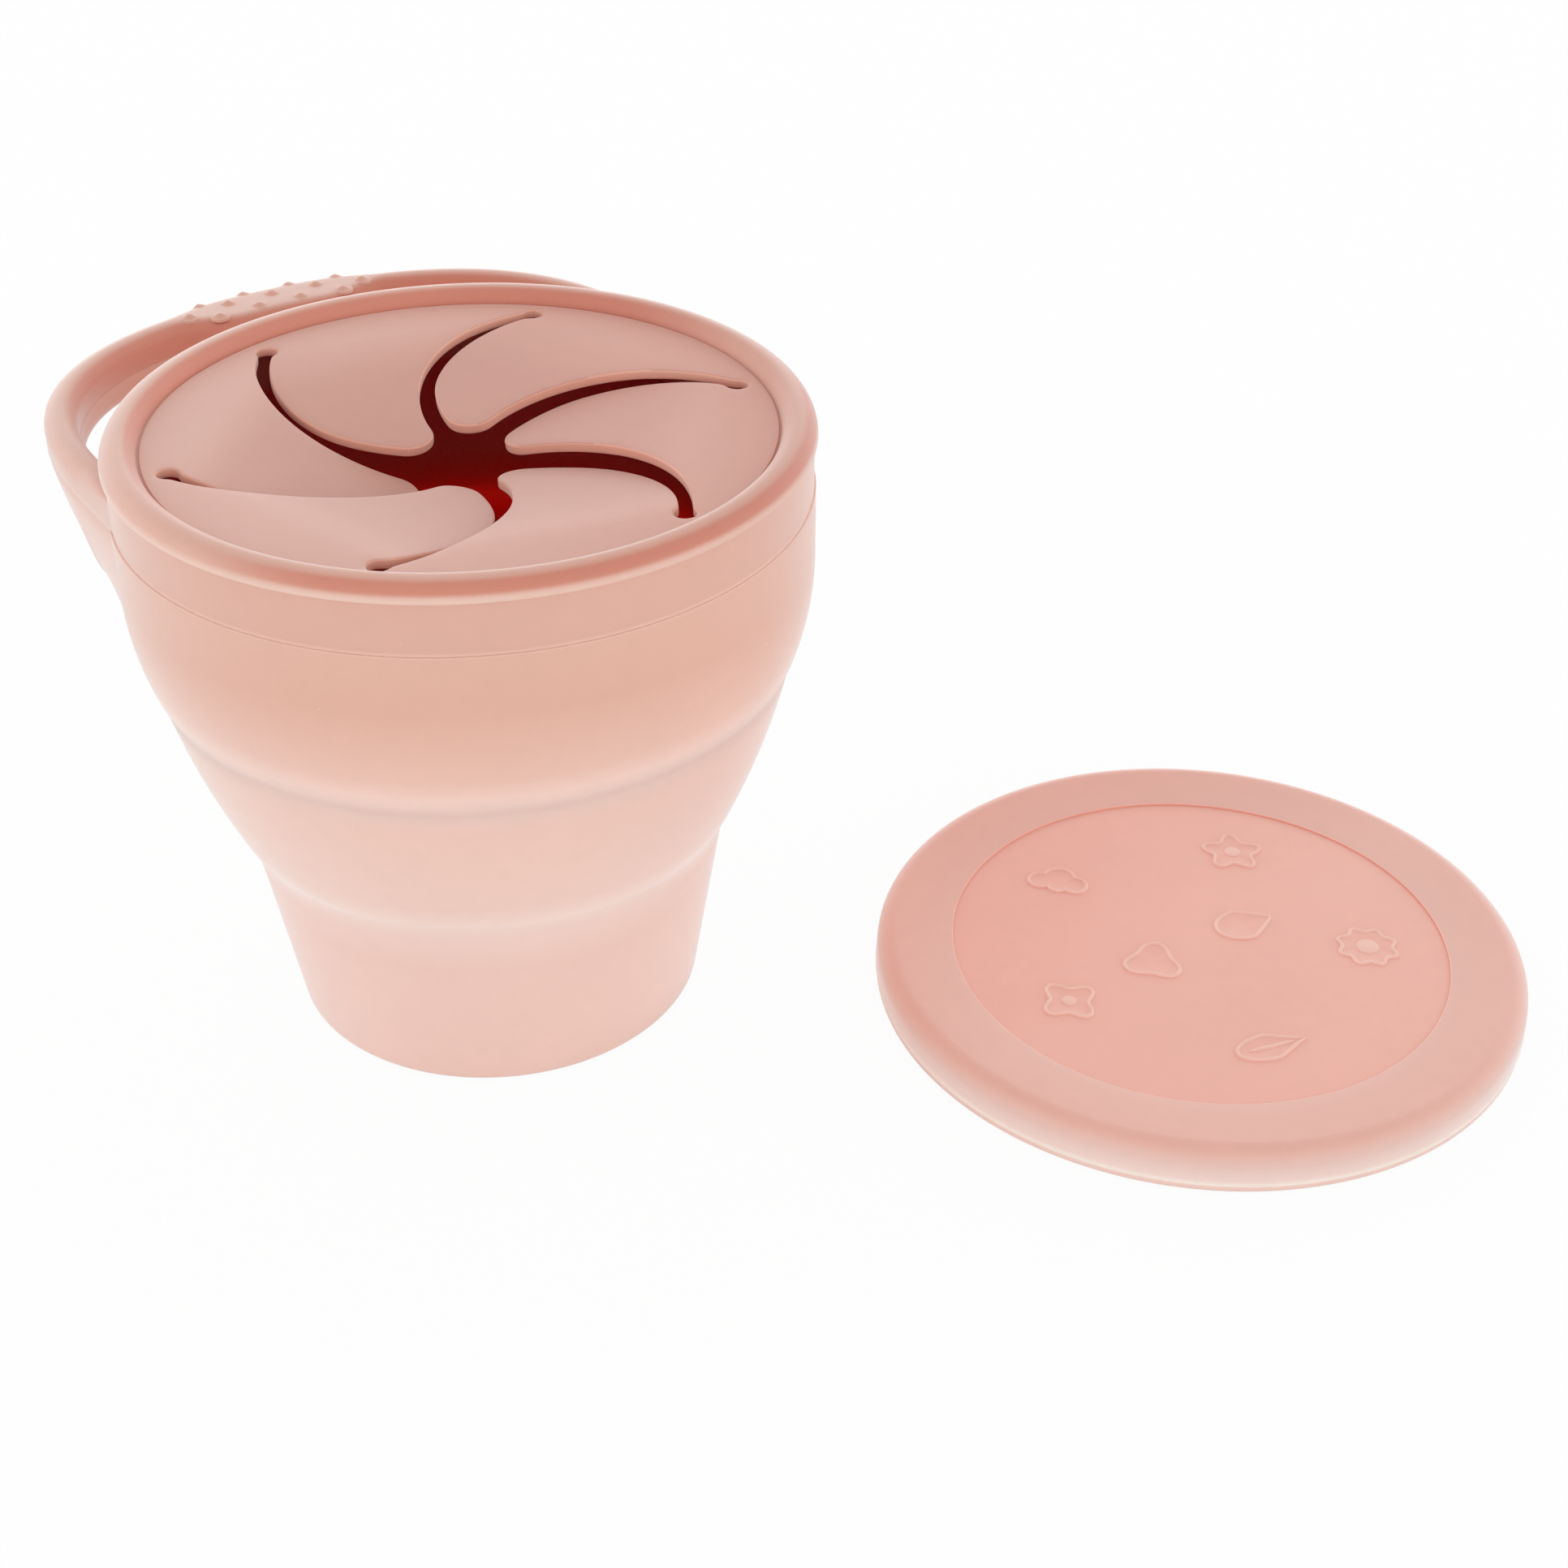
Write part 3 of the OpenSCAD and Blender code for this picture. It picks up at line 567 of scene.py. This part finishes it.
# ---------------------------------------------------------------- dust cover
def make_cover():
    """The brim with its small outer rib, the sunk panel, and the hollow that clips over the bead."""
    groove_round = COVER_ROUND - (COVER_R - COVER_IN_R)
    groove_z = BRIM_LOW_Z + BRIM_RISE - groove_round
    crest_r = COVER_R - COVER_ROUND
    top = rounded([(0, PANEL_TOP_Z, 0), (PANEL_R, PANEL_TOP_Z, STEP_ROUND),
                   (PANEL_R, COVER_H - BRIM_RISE, LIP_ROUND), (crest_r, COVER_H, 2.5),
                   (crest_r + 0.6, COVER_H - 0.05, 0)])
    edge = arc((crest_r, COVER_H - COVER_ROUND), COVER_ROUND, 78, 0, 12)
    side = rounded([(COVER_R, RIB_Z + 0.3, 0), (COVER_R, RIB_Z + RIB_HALF, 0.05),
                    (COVER_R + RIB_OUT, RIB_Z, 0.05), (COVER_R, RIB_Z - RIB_HALF, 0.05),
                    (COVER_R, 0, 0.35), (COVER_IN_R, 0, 0.3), (COVER_IN_R, 1.5, 0)])
    under = arc((COVER_IN_R - groove_round, groove_z), groove_round, 0, 90, 8)
    low = [np.array([PANEL_R, BRIM_LOW_Z]), np.array([0, BRIM_LOW_Z])]
    outline = top[:-1] + edge + side + under + low
    return revolve("cover_shell", spaced(outline, 2.0)[::-1], centre=(COVER_X, COVER_Y))


def polar(reach):
    """A closed outline about the origin from its radius at each angle."""
    return np.array([reach(t) * unit(t) for t in np.arange(0, 360, 2.5)])


def circle(radius):
    """A round outline about the origin."""
    return polar(lambda t: radius)


def lobes(radius, swing, count):
    """A closed outline that swells count times round the origin."""
    return polar(lambda t: radius + swing * (0.5 + 0.5 * unit(count * t)[0]))


def cluster(circles):
    """Outer outline of overlapping circles that all reach round the origin."""
    def reach(t):
        d, far = unit(t), 0.5
        for x, y, r in circles:
            along = x * d[0] + y * d[1]
            room = r * r - (x * x + y * y - along * along)
            if room > 0:
                far = max(far, along + math.sqrt(room))
        return far
    return polar(reach)


def oval(length, width, point=0.0):
    """An oval along x, drawn out to a point at its far end."""
    p = circle(1.0)
    narrowing = np.stack([np.ones(len(p)), 1 - point * np.maximum(0, p[:, 0])], axis=1)
    return p * np.array([length / 2, width / 2]) * narrowing


def moved_in(outline, back):
    """The outline drawn in by a distance along its own rays, so that it never crosses itself."""
    reach = np.linalg.norm(outline, axis=1)
    along = np.roll(outline, -1, axis=0) - np.roll(outline, 1, axis=0)
    along /= np.linalg.norm(along, axis=1)[:, None]
    slant = np.abs(outline[:, 0] * along[:, 1] - outline[:, 1] * along[:, 0]) / reach
    return outline * (1 - np.minimum(0.8, back / np.maximum(0.55, slant) / reach))[:, None]


def make_motifs():
    """Plain raised motifs on the cover's panel: a fine ridge round each outline, a faint plateau inside it.

    Each place is a radius and an angle about the panel's middle, and the motif's own turn. The ridge and the
    button are profiles: how far in from the outline, and how high above the panel."""
    shapes = [lobes(3.2, 1.6, 5),
              cluster([(-2.6, -0.3, 2.0), (0.1, 0.9, 2.7), (2.7, -0.3, 2.1), (0.2, -0.9, 1.8)]),
              lobes(3.0, 1.5, 4), oval(11.0, 5.6, 0.8), lobes(3.9, 0.8, 8), oval(9.4, 7.0, 0.62),
              lobes(3.1, 1.5, 3)]
    cores = {0: circle(1.3), 2: circle(1.1), 3: oval(7.4, 0.7), 4: circle(1.7)}
    places = [(24.5, 62 + 72 * k, turn) for k, turn in enumerate((8, -24, 30, 12, -35))]
    places += [(8.6, 24, 15), (8.6, 204, 70)]
    ridge = [(0, -0.05), (0.03, 0.1), (0.09, 0.2), (0.2, 0.26), (0.34, 0.26), (0.46, 0.2), (0.54, 0.1),
             (0.7, 0.07)]
    button = [(0, 0.0), (0.03, 0.1), (0.1, 0.18), (0.2, 0.2)]
    verts, faces = [], []
    for number, (shape, (r, az, turn)) in enumerate(zip(shapes, places)):
        at = r * unit(az)
        for outline, steps in ((shape, ridge), (cores.get(number), button)):
            if outline is None:
                continue
            n, first = len(outline), len(verts)
            for back, z in steps:
                for q in moved_in(outline, back):
                    q = turned(q, turn) + at
                    verts.append((COVER_X + q[0], COVER_Y + q[1], PANEL_TOP_Z + z))
            rows = [list(range(first + k * n, first + (k + 1) * n)) for k in range(len(steps))]
            faces += [face for a, b in zip(rows, rows[1:]) for face in band(a, b)]
            verts.append((COVER_X + at[0], COVER_Y + at[1], PANEL_TOP_Z + steps[-1][1]))
            faces += [[rows[-1][i], rows[-1][(i + 1) % n], len(verts) - 1] for i in range(n)]
    return mesh_object("cover_motifs", verts, faces)


# ---------------------------------------------------------------- how the materials are made
class Nodes:
    """A few helpers that keep the node code short, for the tree of a material or of the world."""
    def __init__(self, owner):
        owner.use_nodes = True
        self.tree = owner.node_tree
        self.nodes = self.tree.nodes

    def add(self, kind, **values):
        node = self.nodes.new("ShaderNode" + kind)
        for key, value in values.items():
            setattr(node, key, value)
        return node

    def link(self, a, b):
        self.tree.links.new(a, b)

    def feed(self, source, socket):
        """A number, a colour or another node's output into a socket."""
        if isinstance(source, (int, float)):
            socket.default_value = source
        elif isinstance(source, tuple):
            socket.default_value = (*source, 1)
        else:
            self.link(source, socket)

    def calc(self, operation, *values):
        node = self.add("Math", operation=operation)
        for socket, value in zip(node.inputs, values):
            self.feed(value, socket)
        return node.outputs["Value"]

    def noise(self, place, scale, detail=3.0):
        node = self.add("TexNoise")
        node.inputs["Scale"].default_value = scale
        node.inputs["Detail"].default_value = detail
        self.link(place, node.inputs["Vector"])
        return node.outputs["Fac"]

    def span(self, value, low, high, to_low, to_high):
        node = self.add("MapRange")
        for key, number in (("From Min", low), ("From Max", high), ("To Min", to_low), ("To Max", to_high)):
            node.inputs[key].default_value = number
        self.link(value, node.inputs["Value"])
        return node.outputs["Result"]

    def ramp(self, value, stops):
        node = self.add("ValToRGB")
        cells = node.color_ramp.elements
        while len(cells) > len(stops):
            cells.remove(cells[-1])
        while len(cells) < len(stops):
            cells.new(0.5)
        for cell, (at, colour) in zip(cells, stops):
            cell.position = at
            cell.color = (*colour, 1)
        self.link(value, node.inputs["Fac"])
        return node.outputs["Color"]

    def blend(self, share, a, b, how="MIX"):
        """Two colours mixed by a share."""
        node = self.add("Mix", data_type="RGBA", blend_type=how)
        for source, label in ((share, "Factor"), (a, "A"), (b, "B")):
            self.feed(source, node.inputs[label])
        return node.outputs["Result"]

    def mixed(self, share, a, b):
        """Two shaders mixed by a share."""
        node = self.add("MixShader")
        self.feed(share, node.inputs["Fac"])
        self.link(a.outputs[0], node.inputs[1])
        self.link(b.outputs[0], node.inputs[2])
        return node.outputs["Shader"]

    def kept(self, key):
        """A value that the mesh keeps at each point."""
        return self.add("Attribute", attribute_type="GEOMETRY", attribute_name=key).outputs["Fac"]


# The silicone's fine structure: drift and mottle of the colour, dust specks and satin grain, as scales per
# metre; the size, share and colour of the specks; and the grain's range of roughness and depth of bump
DRIFT, MOTTLE, SPECKS, GRAIN = 34, 420, 95, 2600
SPECK_REACH, SPECK_SHARE, SPECK_COLOUR = 0.022, 0.35, (0.95, 0.9, 0.87)
ROUGHNESS, BUMP_SHARE, BUMP_DEPTH = (0.42, 0.56), 0.12, 0.00004
# How far round a place it is tested for being shut in, and the open shares between which its painted shade
# fades
SHUT_REACH, SHUT, OPEN = 0.15, 0.06, 0.2


def silicone(name, colours, glow=(1, 0.12, 0.06), through=0.06, sheen=1.0, gloss=0.5,
             shade_colour=None, side_shade=None, closed=None):
    """Matte silicone: colour by height with a soft drift, fine grain, dust specks and light through the wall.

    Colours and shares of light let through are given at heights in millimetres, or one share for all heights.
    The shade colour is painted shade on faces toward the cup's axis and turned from the light. The side shade
    darkens along a plan direction, between two distances in millimetres: painted shade away from the light. The
    closed colours are painted shade on faces shut in by others, where only light that went through the silicone
    arrives."""
    mat = bpy.data.materials.new(name)
    n = Nodes(mat)
    bsdf = n.nodes["Principled BSDF"]
    place = n.add("TexCoord").outputs["Object"]
    # Height at rest, in tenths of a metre, so that the colours stay put when the cup folds
    height = n.span(n.kept("rest_z"), 0, 0.1, 0, 1)

    def by_height(stops):
        return n.ramp(height, [(at / 100, colour) for at, colour in stops])

    base = by_height(colours)
    # Painted shade: the shade colour on faces toward the cup's axis and on the side turned from the light
    if shade_colour:
        base = n.blend(n.kept("painted_shade_share"), base, shade_colour)
    # Painted shade: a darker tint toward one side in plan, where less light falls
    if side_shade:
        along, low, high, tint = side_shade
        across = n.add("VectorMath", operation="DOT_PRODUCT")
        n.link(place, across.inputs[0])
        across.inputs[1].default_value = (*along, 0)
        share = n.span(across.outputs["Value"], low * MM, high * MM, 0, 1)
        base = n.blend(share, base, n.blend(1.0, base, tint, "MULTIPLY"))
    # Painted shade: faces shut in by others take the closed colours
    if closed:
        around = n.add("AmbientOcclusion", samples=8)
        around.inputs["Distance"].default_value = SHUT_REACH
        base = n.blend(n.span(around.outputs["AO"], SHUT, OPEN, 0, 1), by_height(closed), base)
    drift = n.ramp(n.noise(place, DRIFT), [(0.3, (0.93, 0.93, 0.93)), (0.7, (1, 1, 1))])
    base = n.blend(0.5, base, drift, "MULTIPLY")
    mottle = n.ramp(n.noise(place, MOTTLE, 2), [(0.35, (0.97, 0.97, 0.97)), (0.65, (1, 1, 1))])
    base = n.blend(0.5, base, mottle, "MULTIPLY")
    speck = n.add("TexVoronoi")
    speck.inputs["Scale"].default_value = SPECKS
    n.link(place, speck.inputs["Vector"])
    base = n.blend(n.span(speck.outputs["Distance"], 0, SPECK_REACH, SPECK_SHARE, 0), base, SPECK_COLOUR)
    n.link(base, bsdf.inputs["Base Color"])

    grain = n.noise(place, GRAIN, 4)
    n.link(n.span(grain, 0, 1, *ROUGHNESS), bsdf.inputs["Roughness"])
    bump = n.add("Bump")
    bump.inputs["Strength"].default_value = BUMP_SHARE
    bump.inputs["Distance"].default_value = BUMP_DEPTH
    n.link(grain, bump.inputs["Height"])
    n.link(bump.outputs["Normal"], bsdf.inputs["Normal"])
    for label, value in (("IOR", 1.41), ("Specular IOR Level", gloss), ("Sheen Weight", sheen),
                         ("Sheen Roughness", 0.4), ("Sheen Tint", (1, 0.97, 0.95, 1))):
        bsdf.inputs[label].default_value = value

    back = n.add("BsdfTranslucent")
    back.inputs["Color"].default_value = (*glow, 1)
    n.link(bump.outputs["Normal"], back.inputs["Normal"])
    if not isinstance(through, float):
        through = by_height([(at, (share,) * 3) for at, share in through])
    n.link(n.mixed(through, bsdf, back), n.nodes["Material Output"].inputs["Surface"])
    return mat


def paint(obj, mats, where=None):
    """The piece's materials; where several, the test gives each face its own."""
    obj.data.materials.clear()
    for mat in mats:
        obj.data.materials.append(mat)
    if where:
        for face in obj.data.polygons:
            face.material_index = int(where(face))
    return obj


def inner_faces(face):
    """0 the cup's outside, 1 its inside: faces toward the axis, and the floor."""
    inward = face.normal.x * face.center.x + face.normal.y * face.center.y < 0
    return inward or (face.normal.z > 0.9 and face.center.z < 10 * MM)


def petal_faces(face):
    """0 the top, 1 the cut edge, 2 the underside."""
    return 0 if face.normal.z > 0.8 else 2 if face.normal.z < -0.6 else 1


def rim_faces(face):
    """0 the skirt, 1 the bead's outer slope, 2 the bead's inner flank, 3 the disc."""
    x, y, z = face.center / MM
    r = math.hypot(x, y)
    if z < DISC_Z - 0.5 or (r > BEAD_C and z < BEAD_Z + 0.2):
        return 0
    return 1 if r > BEAD_C else 2 if r > BEAD_C - BEAD_FLANK else 3


def cover_faces(face):
    """0 the brim and sides, 1 the sunk panel, 2 the small step up from it, in painted shade, 3 the step's
    rounded lip, with a painted highlight.
    """
    x, y, z = face.center / MM
    r = math.hypot(x - COVER_X, y - COVER_Y)
    if z < PANEL_TOP_Z - 0.2 or r > PANEL_R + LIP_ROUND + 0.02:
        return 0
    return 1 if r < PANEL_R - 0.05 else 2 if r < PANEL_R + 0.03 else 3


def ridge_faces(face):
    """0 a motif's foot, 1 its raised part, which takes the painted highlight."""
    return face.center.z > (PANEL_TOP_Z + 0.13) * MM


# ---------------------------------------------------------------- the materials
# Colours are linear red, green and blue at heights in millimetres
# Painted light: a paler ring along the parting line, which lifts the shade in its fine groove
seam = [(77.78, (0.78, 0.46, 0.36)), (77.92, (0.94, 0.67, 0.57)), (78.0, (0.97, 0.72, 0.62)),
        (78.2, (0.78, 0.46, 0.36))]
# The cup's outside: painted light makes it paler low down and at the two folds, painted shade deeper towards
# the top
cup_mat = silicone(
    "cup_silicone_soft",
    [(0, (0.89, 0.60, 0.52)), (22, (0.88, 0.59, 0.51)), (28, (0.93, 0.68, 0.60)), (31.5, (0.96, 0.73, 0.65)),
     (35, (0.90, 0.62, 0.53)), (51, (0.87, 0.58, 0.49)), (53.5, (0.94, 0.69, 0.60)),
     (55.5, (0.95, 0.69, 0.60)), (60, (0.85, 0.54, 0.44)), (70, (0.77, 0.445, 0.345))] + seam,
    through=[(20, 0.06), (28, 0.10), (36, 0.06), (51, 0.06), (54, 0.24), (57, 0.06)])
# The cup's inside: pink where open; where shut in, painted shade in dark red, with a brighter red band at the
# upper fold that stands in for light through the thin wall (painted glow)
inner_mat = silicone(
    "inner_silicone_soft", [(0, (0.80, 0.38, 0.30))],
    closed=[(0, (0.72, 0.08, 0.075)), (48, (0.72, 0.08, 0.075)), (53, (0.92, 0.13, 0.07)),
            (58, (0.76, 0.09, 0.07)), (66, (0.72, 0.075, 0.075)), (75, (0.72, 0.08, 0.08)),
            (79, (0.77, 0.36, 0.29))],
    through=[(20, 0.10), (28, 0.3), (36, 0.10), (48, 0.12), (53, 0.95), (58, 0.4), (62, 0.12)],
    glow=(1, 0.04, 0.02), sheen=0.0, gloss=0.15)
# The handle's flare: deeper towards the seam (painted shade), a pale ring at the seam (painted light), and the
# shade colour on its inner side (painted shade)
flare_mat = silicone(
    "flare_silicone_soft",
    [(60, (0.86, 0.59, 0.51)), (70, (0.84, 0.56, 0.48)), (77.8, (0.81, 0.51, 0.42)),
     (78, (0.93, 0.66, 0.56))],
    shade_colour=(0.76, 0.40, 0.31))

# The lid's colours: its plain colour with a pale ring at the parting line (painted light), a pale band along
# the bead's lower edge (painted highlight), deeper towards the bead's crest (painted shade), and the colour of
# painted shade on faces turned from the light
lid_base_and_seam_light = [(77.9, (0.97, 0.72, 0.62)), (78.08, (0.92, 0.64, 0.54)), (78.22, (0.75, 0.435, 0.345)),
           (85.1, (0.75, 0.435, 0.345))]
lid_edge_highlight = [(85.3, (0.84, 0.575, 0.48)), (85.7, (0.85, 0.58, 0.485))]
lid_bead_shade = [(86.15, (0.76, 0.44, 0.35)), (87.6, (0.735, 0.41, 0.32))]
lid_shade_colour = (0.68, 0.26, 0.185)
# Painted shade toward one side in plan: direction, distances in millimetres and tint
bar_side_shade = ((0.8, 0.6), -5, 42, (0.95, 0.87, 0.85))
bead_side_shade = ((1.0, 0.1), -10, 42, (0.91, 0.82, 0.80))
lid_mat = silicone("lid_silicone_soft", lid_base_and_seam_light, shade_colour=lid_shade_colour, side_shade=bar_side_shade)
skirt_mat = silicone("lid_skirt_silicone_soft", lid_base_and_seam_light + lid_edge_highlight)
bead_mat = silicone("lid_bead_silicone_soft", lid_edge_highlight + lid_bead_shade, sheen=0.9, shade_colour=lid_shade_colour, side_shade=bead_side_shade)
flank_mat = silicone("lid_flank_silicone_soft", [(0, (0.75, 0.435, 0.345))] + lid_bead_shade, sheen=0.9,
                     shade_colour=lid_shade_colour, side_shade=bead_side_shade)
nub_mat = silicone("nub_silicone_soft", [(0, (0.73, 0.40, 0.31))], sheen=0.6)
# The petals and the disc: painted shade makes them deeper on the low, drooping parts and darker toward one side
petal_mat = silicone(
    "petal_silicone_soft",
    [(82, (0.66, 0.35, 0.28)), (84.5, (0.68, 0.365, 0.295)), (85.7, (0.76, 0.435, 0.355))],
    through=0.05, sheen=0.35, side_shade=((0.9, 0.4), -30, 38, (0.90, 0.76, 0.73)))
# The petals' cut edges: a bright, strong orange that stands in for light glowing out of the cut (painted glow),
# paler at the top edge (painted highlight)
edge_glow_mat = silicone(
    "cut_edge_painted_glow_silicone",
    [(0, (0.99, 0.51, 0.385)), (84.6, (0.99, 0.50, 0.38)), (85.55, (1.0, 0.56, 0.43))],
    through=0.2, glow=(1, 0.35, 0.2), sheen=0.7)
# The petals' undersides: pink where open, dark red painted shade where shut in
under_mat = silicone("under_silicone_soft", [(0, (0.78, 0.40, 0.32))], closed=[(0, (0.72, 0.13, 0.11))],
                     sheen=0.0, gloss=0.2)

# Painted shade: the cover darker toward its far left
cover_side_shade = ((-0.5, 0.85), -68, -20, (0.94, 0.83, 0.80))
# The cover's brim and side: a pale band over the small rib (painted highlight) and paler towards the lower edge
# (painted light)
cover_mat = silicone(
    "cover_silicone_soft",
    [(0, (0.88, 0.60, 0.53)), (0.95, (0.92, 0.66, 0.58)), (1.12, (1.0, 0.92, 0.84)),
     (1.45, (1.0, 0.92, 0.84)), (1.6, (0.91, 0.70, 0.64)), (3.0, (0.87, 0.64, 0.58)),
     (4.4, (0.82, 0.55, 0.48)), (5.6, (0.85, 0.50, 0.42)), (6.0, (0.86, 0.475, 0.395)),
     (6.4, (0.86, 0.475, 0.395))],
    through=0.05, side_shade=cover_side_shade)
panel_mat = silicone("panel_silicone_soft", [(0, (0.93, 0.48, 0.39))], through=0.05, sheen=0.9,
                     side_shade=cover_side_shade)
# Painted shade: the panel's small step, darker red
step_shade_mat = silicone("panel_step_painted_shade_silicone", [(0, (0.83, 0.33, 0.25))], through=0.05, sheen=0.2)
# Painted highlight: a paler colour on the step's lip and on the motifs' raised ridges
ridge_highlight_mat = silicone("ridge_painted_highlight_silicone", [(0, (0.95, 0.56, 0.47))], through=0.05, side_shade=cover_side_shade)


# ---------------------------------------------------------------- the pieces
cup = paint(make_cup(), [cup_mat, inner_mat], inner_faces)
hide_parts("base_tier", "lower_fold", "mid_tier", "upper_fold", "top_tier")
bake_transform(cup)

upper, lower = make_handles()
paint(upper, [lid_mat])
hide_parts("lid_handle")
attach(upper, "lid")
paint(lower, [flare_mat])
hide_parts("cup_handle")
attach(lower, "cup_top")

rim = paint(make_lid_rim(), [skirt_mat, bead_mat, flank_mat, petal_mat], rim_faces)
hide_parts("lid_ring")
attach(rim, "lid")

nubs = paint(make_nubs(), [nub_mat])
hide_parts("grip_nubs")
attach(nubs, "lid")

for number, (petal, az) in enumerate(make_petals(), 1):
    paint(petal, [petal_mat, edge_glow_mat, under_mat], petal_faces)
    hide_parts(f"petal_{number}")
    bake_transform(petal)

cover = paint(make_cover(), [cover_mat, panel_mat, step_shade_mat, ridge_highlight_mat], cover_faces)
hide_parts("cover_rim", "cover_panel")
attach(cover, "dust_cover")

motifs = paint(make_motifs(), [panel_mat, ridge_highlight_mat], ridge_faces)
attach(motifs, "dust_cover")


# ---------------------------------------------------------------- stage, light and camera
# The floor in metres: half its width and how far it lies below the foot; then how light it is, and the share of
# plain white that the camera sees on it
FLOOR_HALF, FLOOR_DROP, FLOOR_LEVEL, FLOOR_WHITE = 3.0, 0.0002, 0.95, 0.93
# The sky's light at the horizon and overhead, and how much more comes from the far side
HORIZON_LIGHT, TOP_LIGHT, FAR_GAIN = 1.95, 0.45, 0.12
# The photo's camera, found by fitting the outlines of the lid, the wall and the dust cover
PITCH, YAW, ROLL, LENS = 33.545, 8.221, -0.332, 56.22
CAMERA_AT = (0, -0.292091, 0.222296)


def make_stage():
    """A wide white floor that takes soft shadows and otherwise shows the camera plain white."""
    h = FLOOR_HALF
    floor = mesh_object("stage_floor", [(-h, -h, 0), (h, -h, 0), (h, h, 0), (-h, h, 0)], [[0, 1, 2, 3]],
                        scale=1)
    floor.location.z = -FLOOR_DROP
    mat = bpy.data.materials.new("stage_white")
    n = Nodes(mat)
    n.nodes.remove(n.nodes["Principled BSDF"])
    diffuse = n.add("BsdfDiffuse")
    diffuse.inputs["Color"].default_value = (FLOOR_LEVEL, FLOOR_LEVEL, FLOOR_LEVEL, 1)
    glow = n.add("Emission")
    glow.inputs["Strength"].default_value = 1.0
    seen = n.add("LightPath").outputs["Is Camera Ray"]
    surface = n.mixed(n.calc("MULTIPLY", seen, FLOOR_WHITE), diffuse, glow)
    n.link(surface, n.nodes["Material Output"].inputs["Surface"])
    floor.data.materials.append(mat)


def make_world():
    """A white sky, stronger low down and on the far side; the camera itself sees plain white."""
    world = bpy.data.worlds.new("studio")
    bpy.context.scene.world = world
    n = Nodes(world)
    split = n.add("SeparateXYZ")
    n.link(n.add("TexCoord").outputs["Generated"], split.inputs[0])
    by_height = n.span(split.outputs["Z"], 0, 1, HORIZON_LIGHT, TOP_LIGHT)
    by_side = n.calc("MULTIPLY_ADD", split.outputs["Y"], FAR_GAIN, 1.0)
    lit, white = n.nodes["Background"], n.add("Background")
    n.link(n.calc("MULTIPLY", by_height, by_side), lit.inputs["Strength"])
    white.inputs["Strength"].default_value = 1
    for sky in (lit, white):
        sky.inputs["Color"].default_value = (1, 1, 1, 1)
    surface = n.mixed(n.add("LightPath").outputs["Is Camera Ray"], lit, white)
    n.link(surface, n.nodes["World Output"].inputs["Surface"])


def make_camera():
    """The photo's camera, from its turn down, aside and about its own line of sight."""
    pitch, yaw, roll = (math.radians(a) for a in (PITCH, YAW, ROLL))
    fwd = Vector((math.sin(yaw) * math.cos(pitch), math.cos(yaw) * math.cos(pitch), -math.sin(pitch)))
    right = Vector((math.cos(yaw), -math.sin(yaw), 0))
    down = fwd.cross(right)
    across = math.cos(roll) * right + math.sin(roll) * down
    below = -math.sin(roll) * right + math.cos(roll) * down
    data = bpy.data.cameras.new("camera")
    data.lens, data.sensor_width, data.sensor_fit = LENS, 36, "HORIZONTAL"
    data.clip_start, data.clip_end = 0.01, 20
    camera = bpy.data.objects.new("camera", data)
    bpy.context.scene.collection.objects.link(camera)
    m = Matrix((across, -below, -fwd)).transposed().to_4x4()
    m.translation = Vector(CAMERA_AT)
    camera.matrix_world = m
    bpy.context.scene.camera = camera


make_stage()
make_world()
make_camera()
bpy.context.scene.view_settings.view_transform = "Standard"
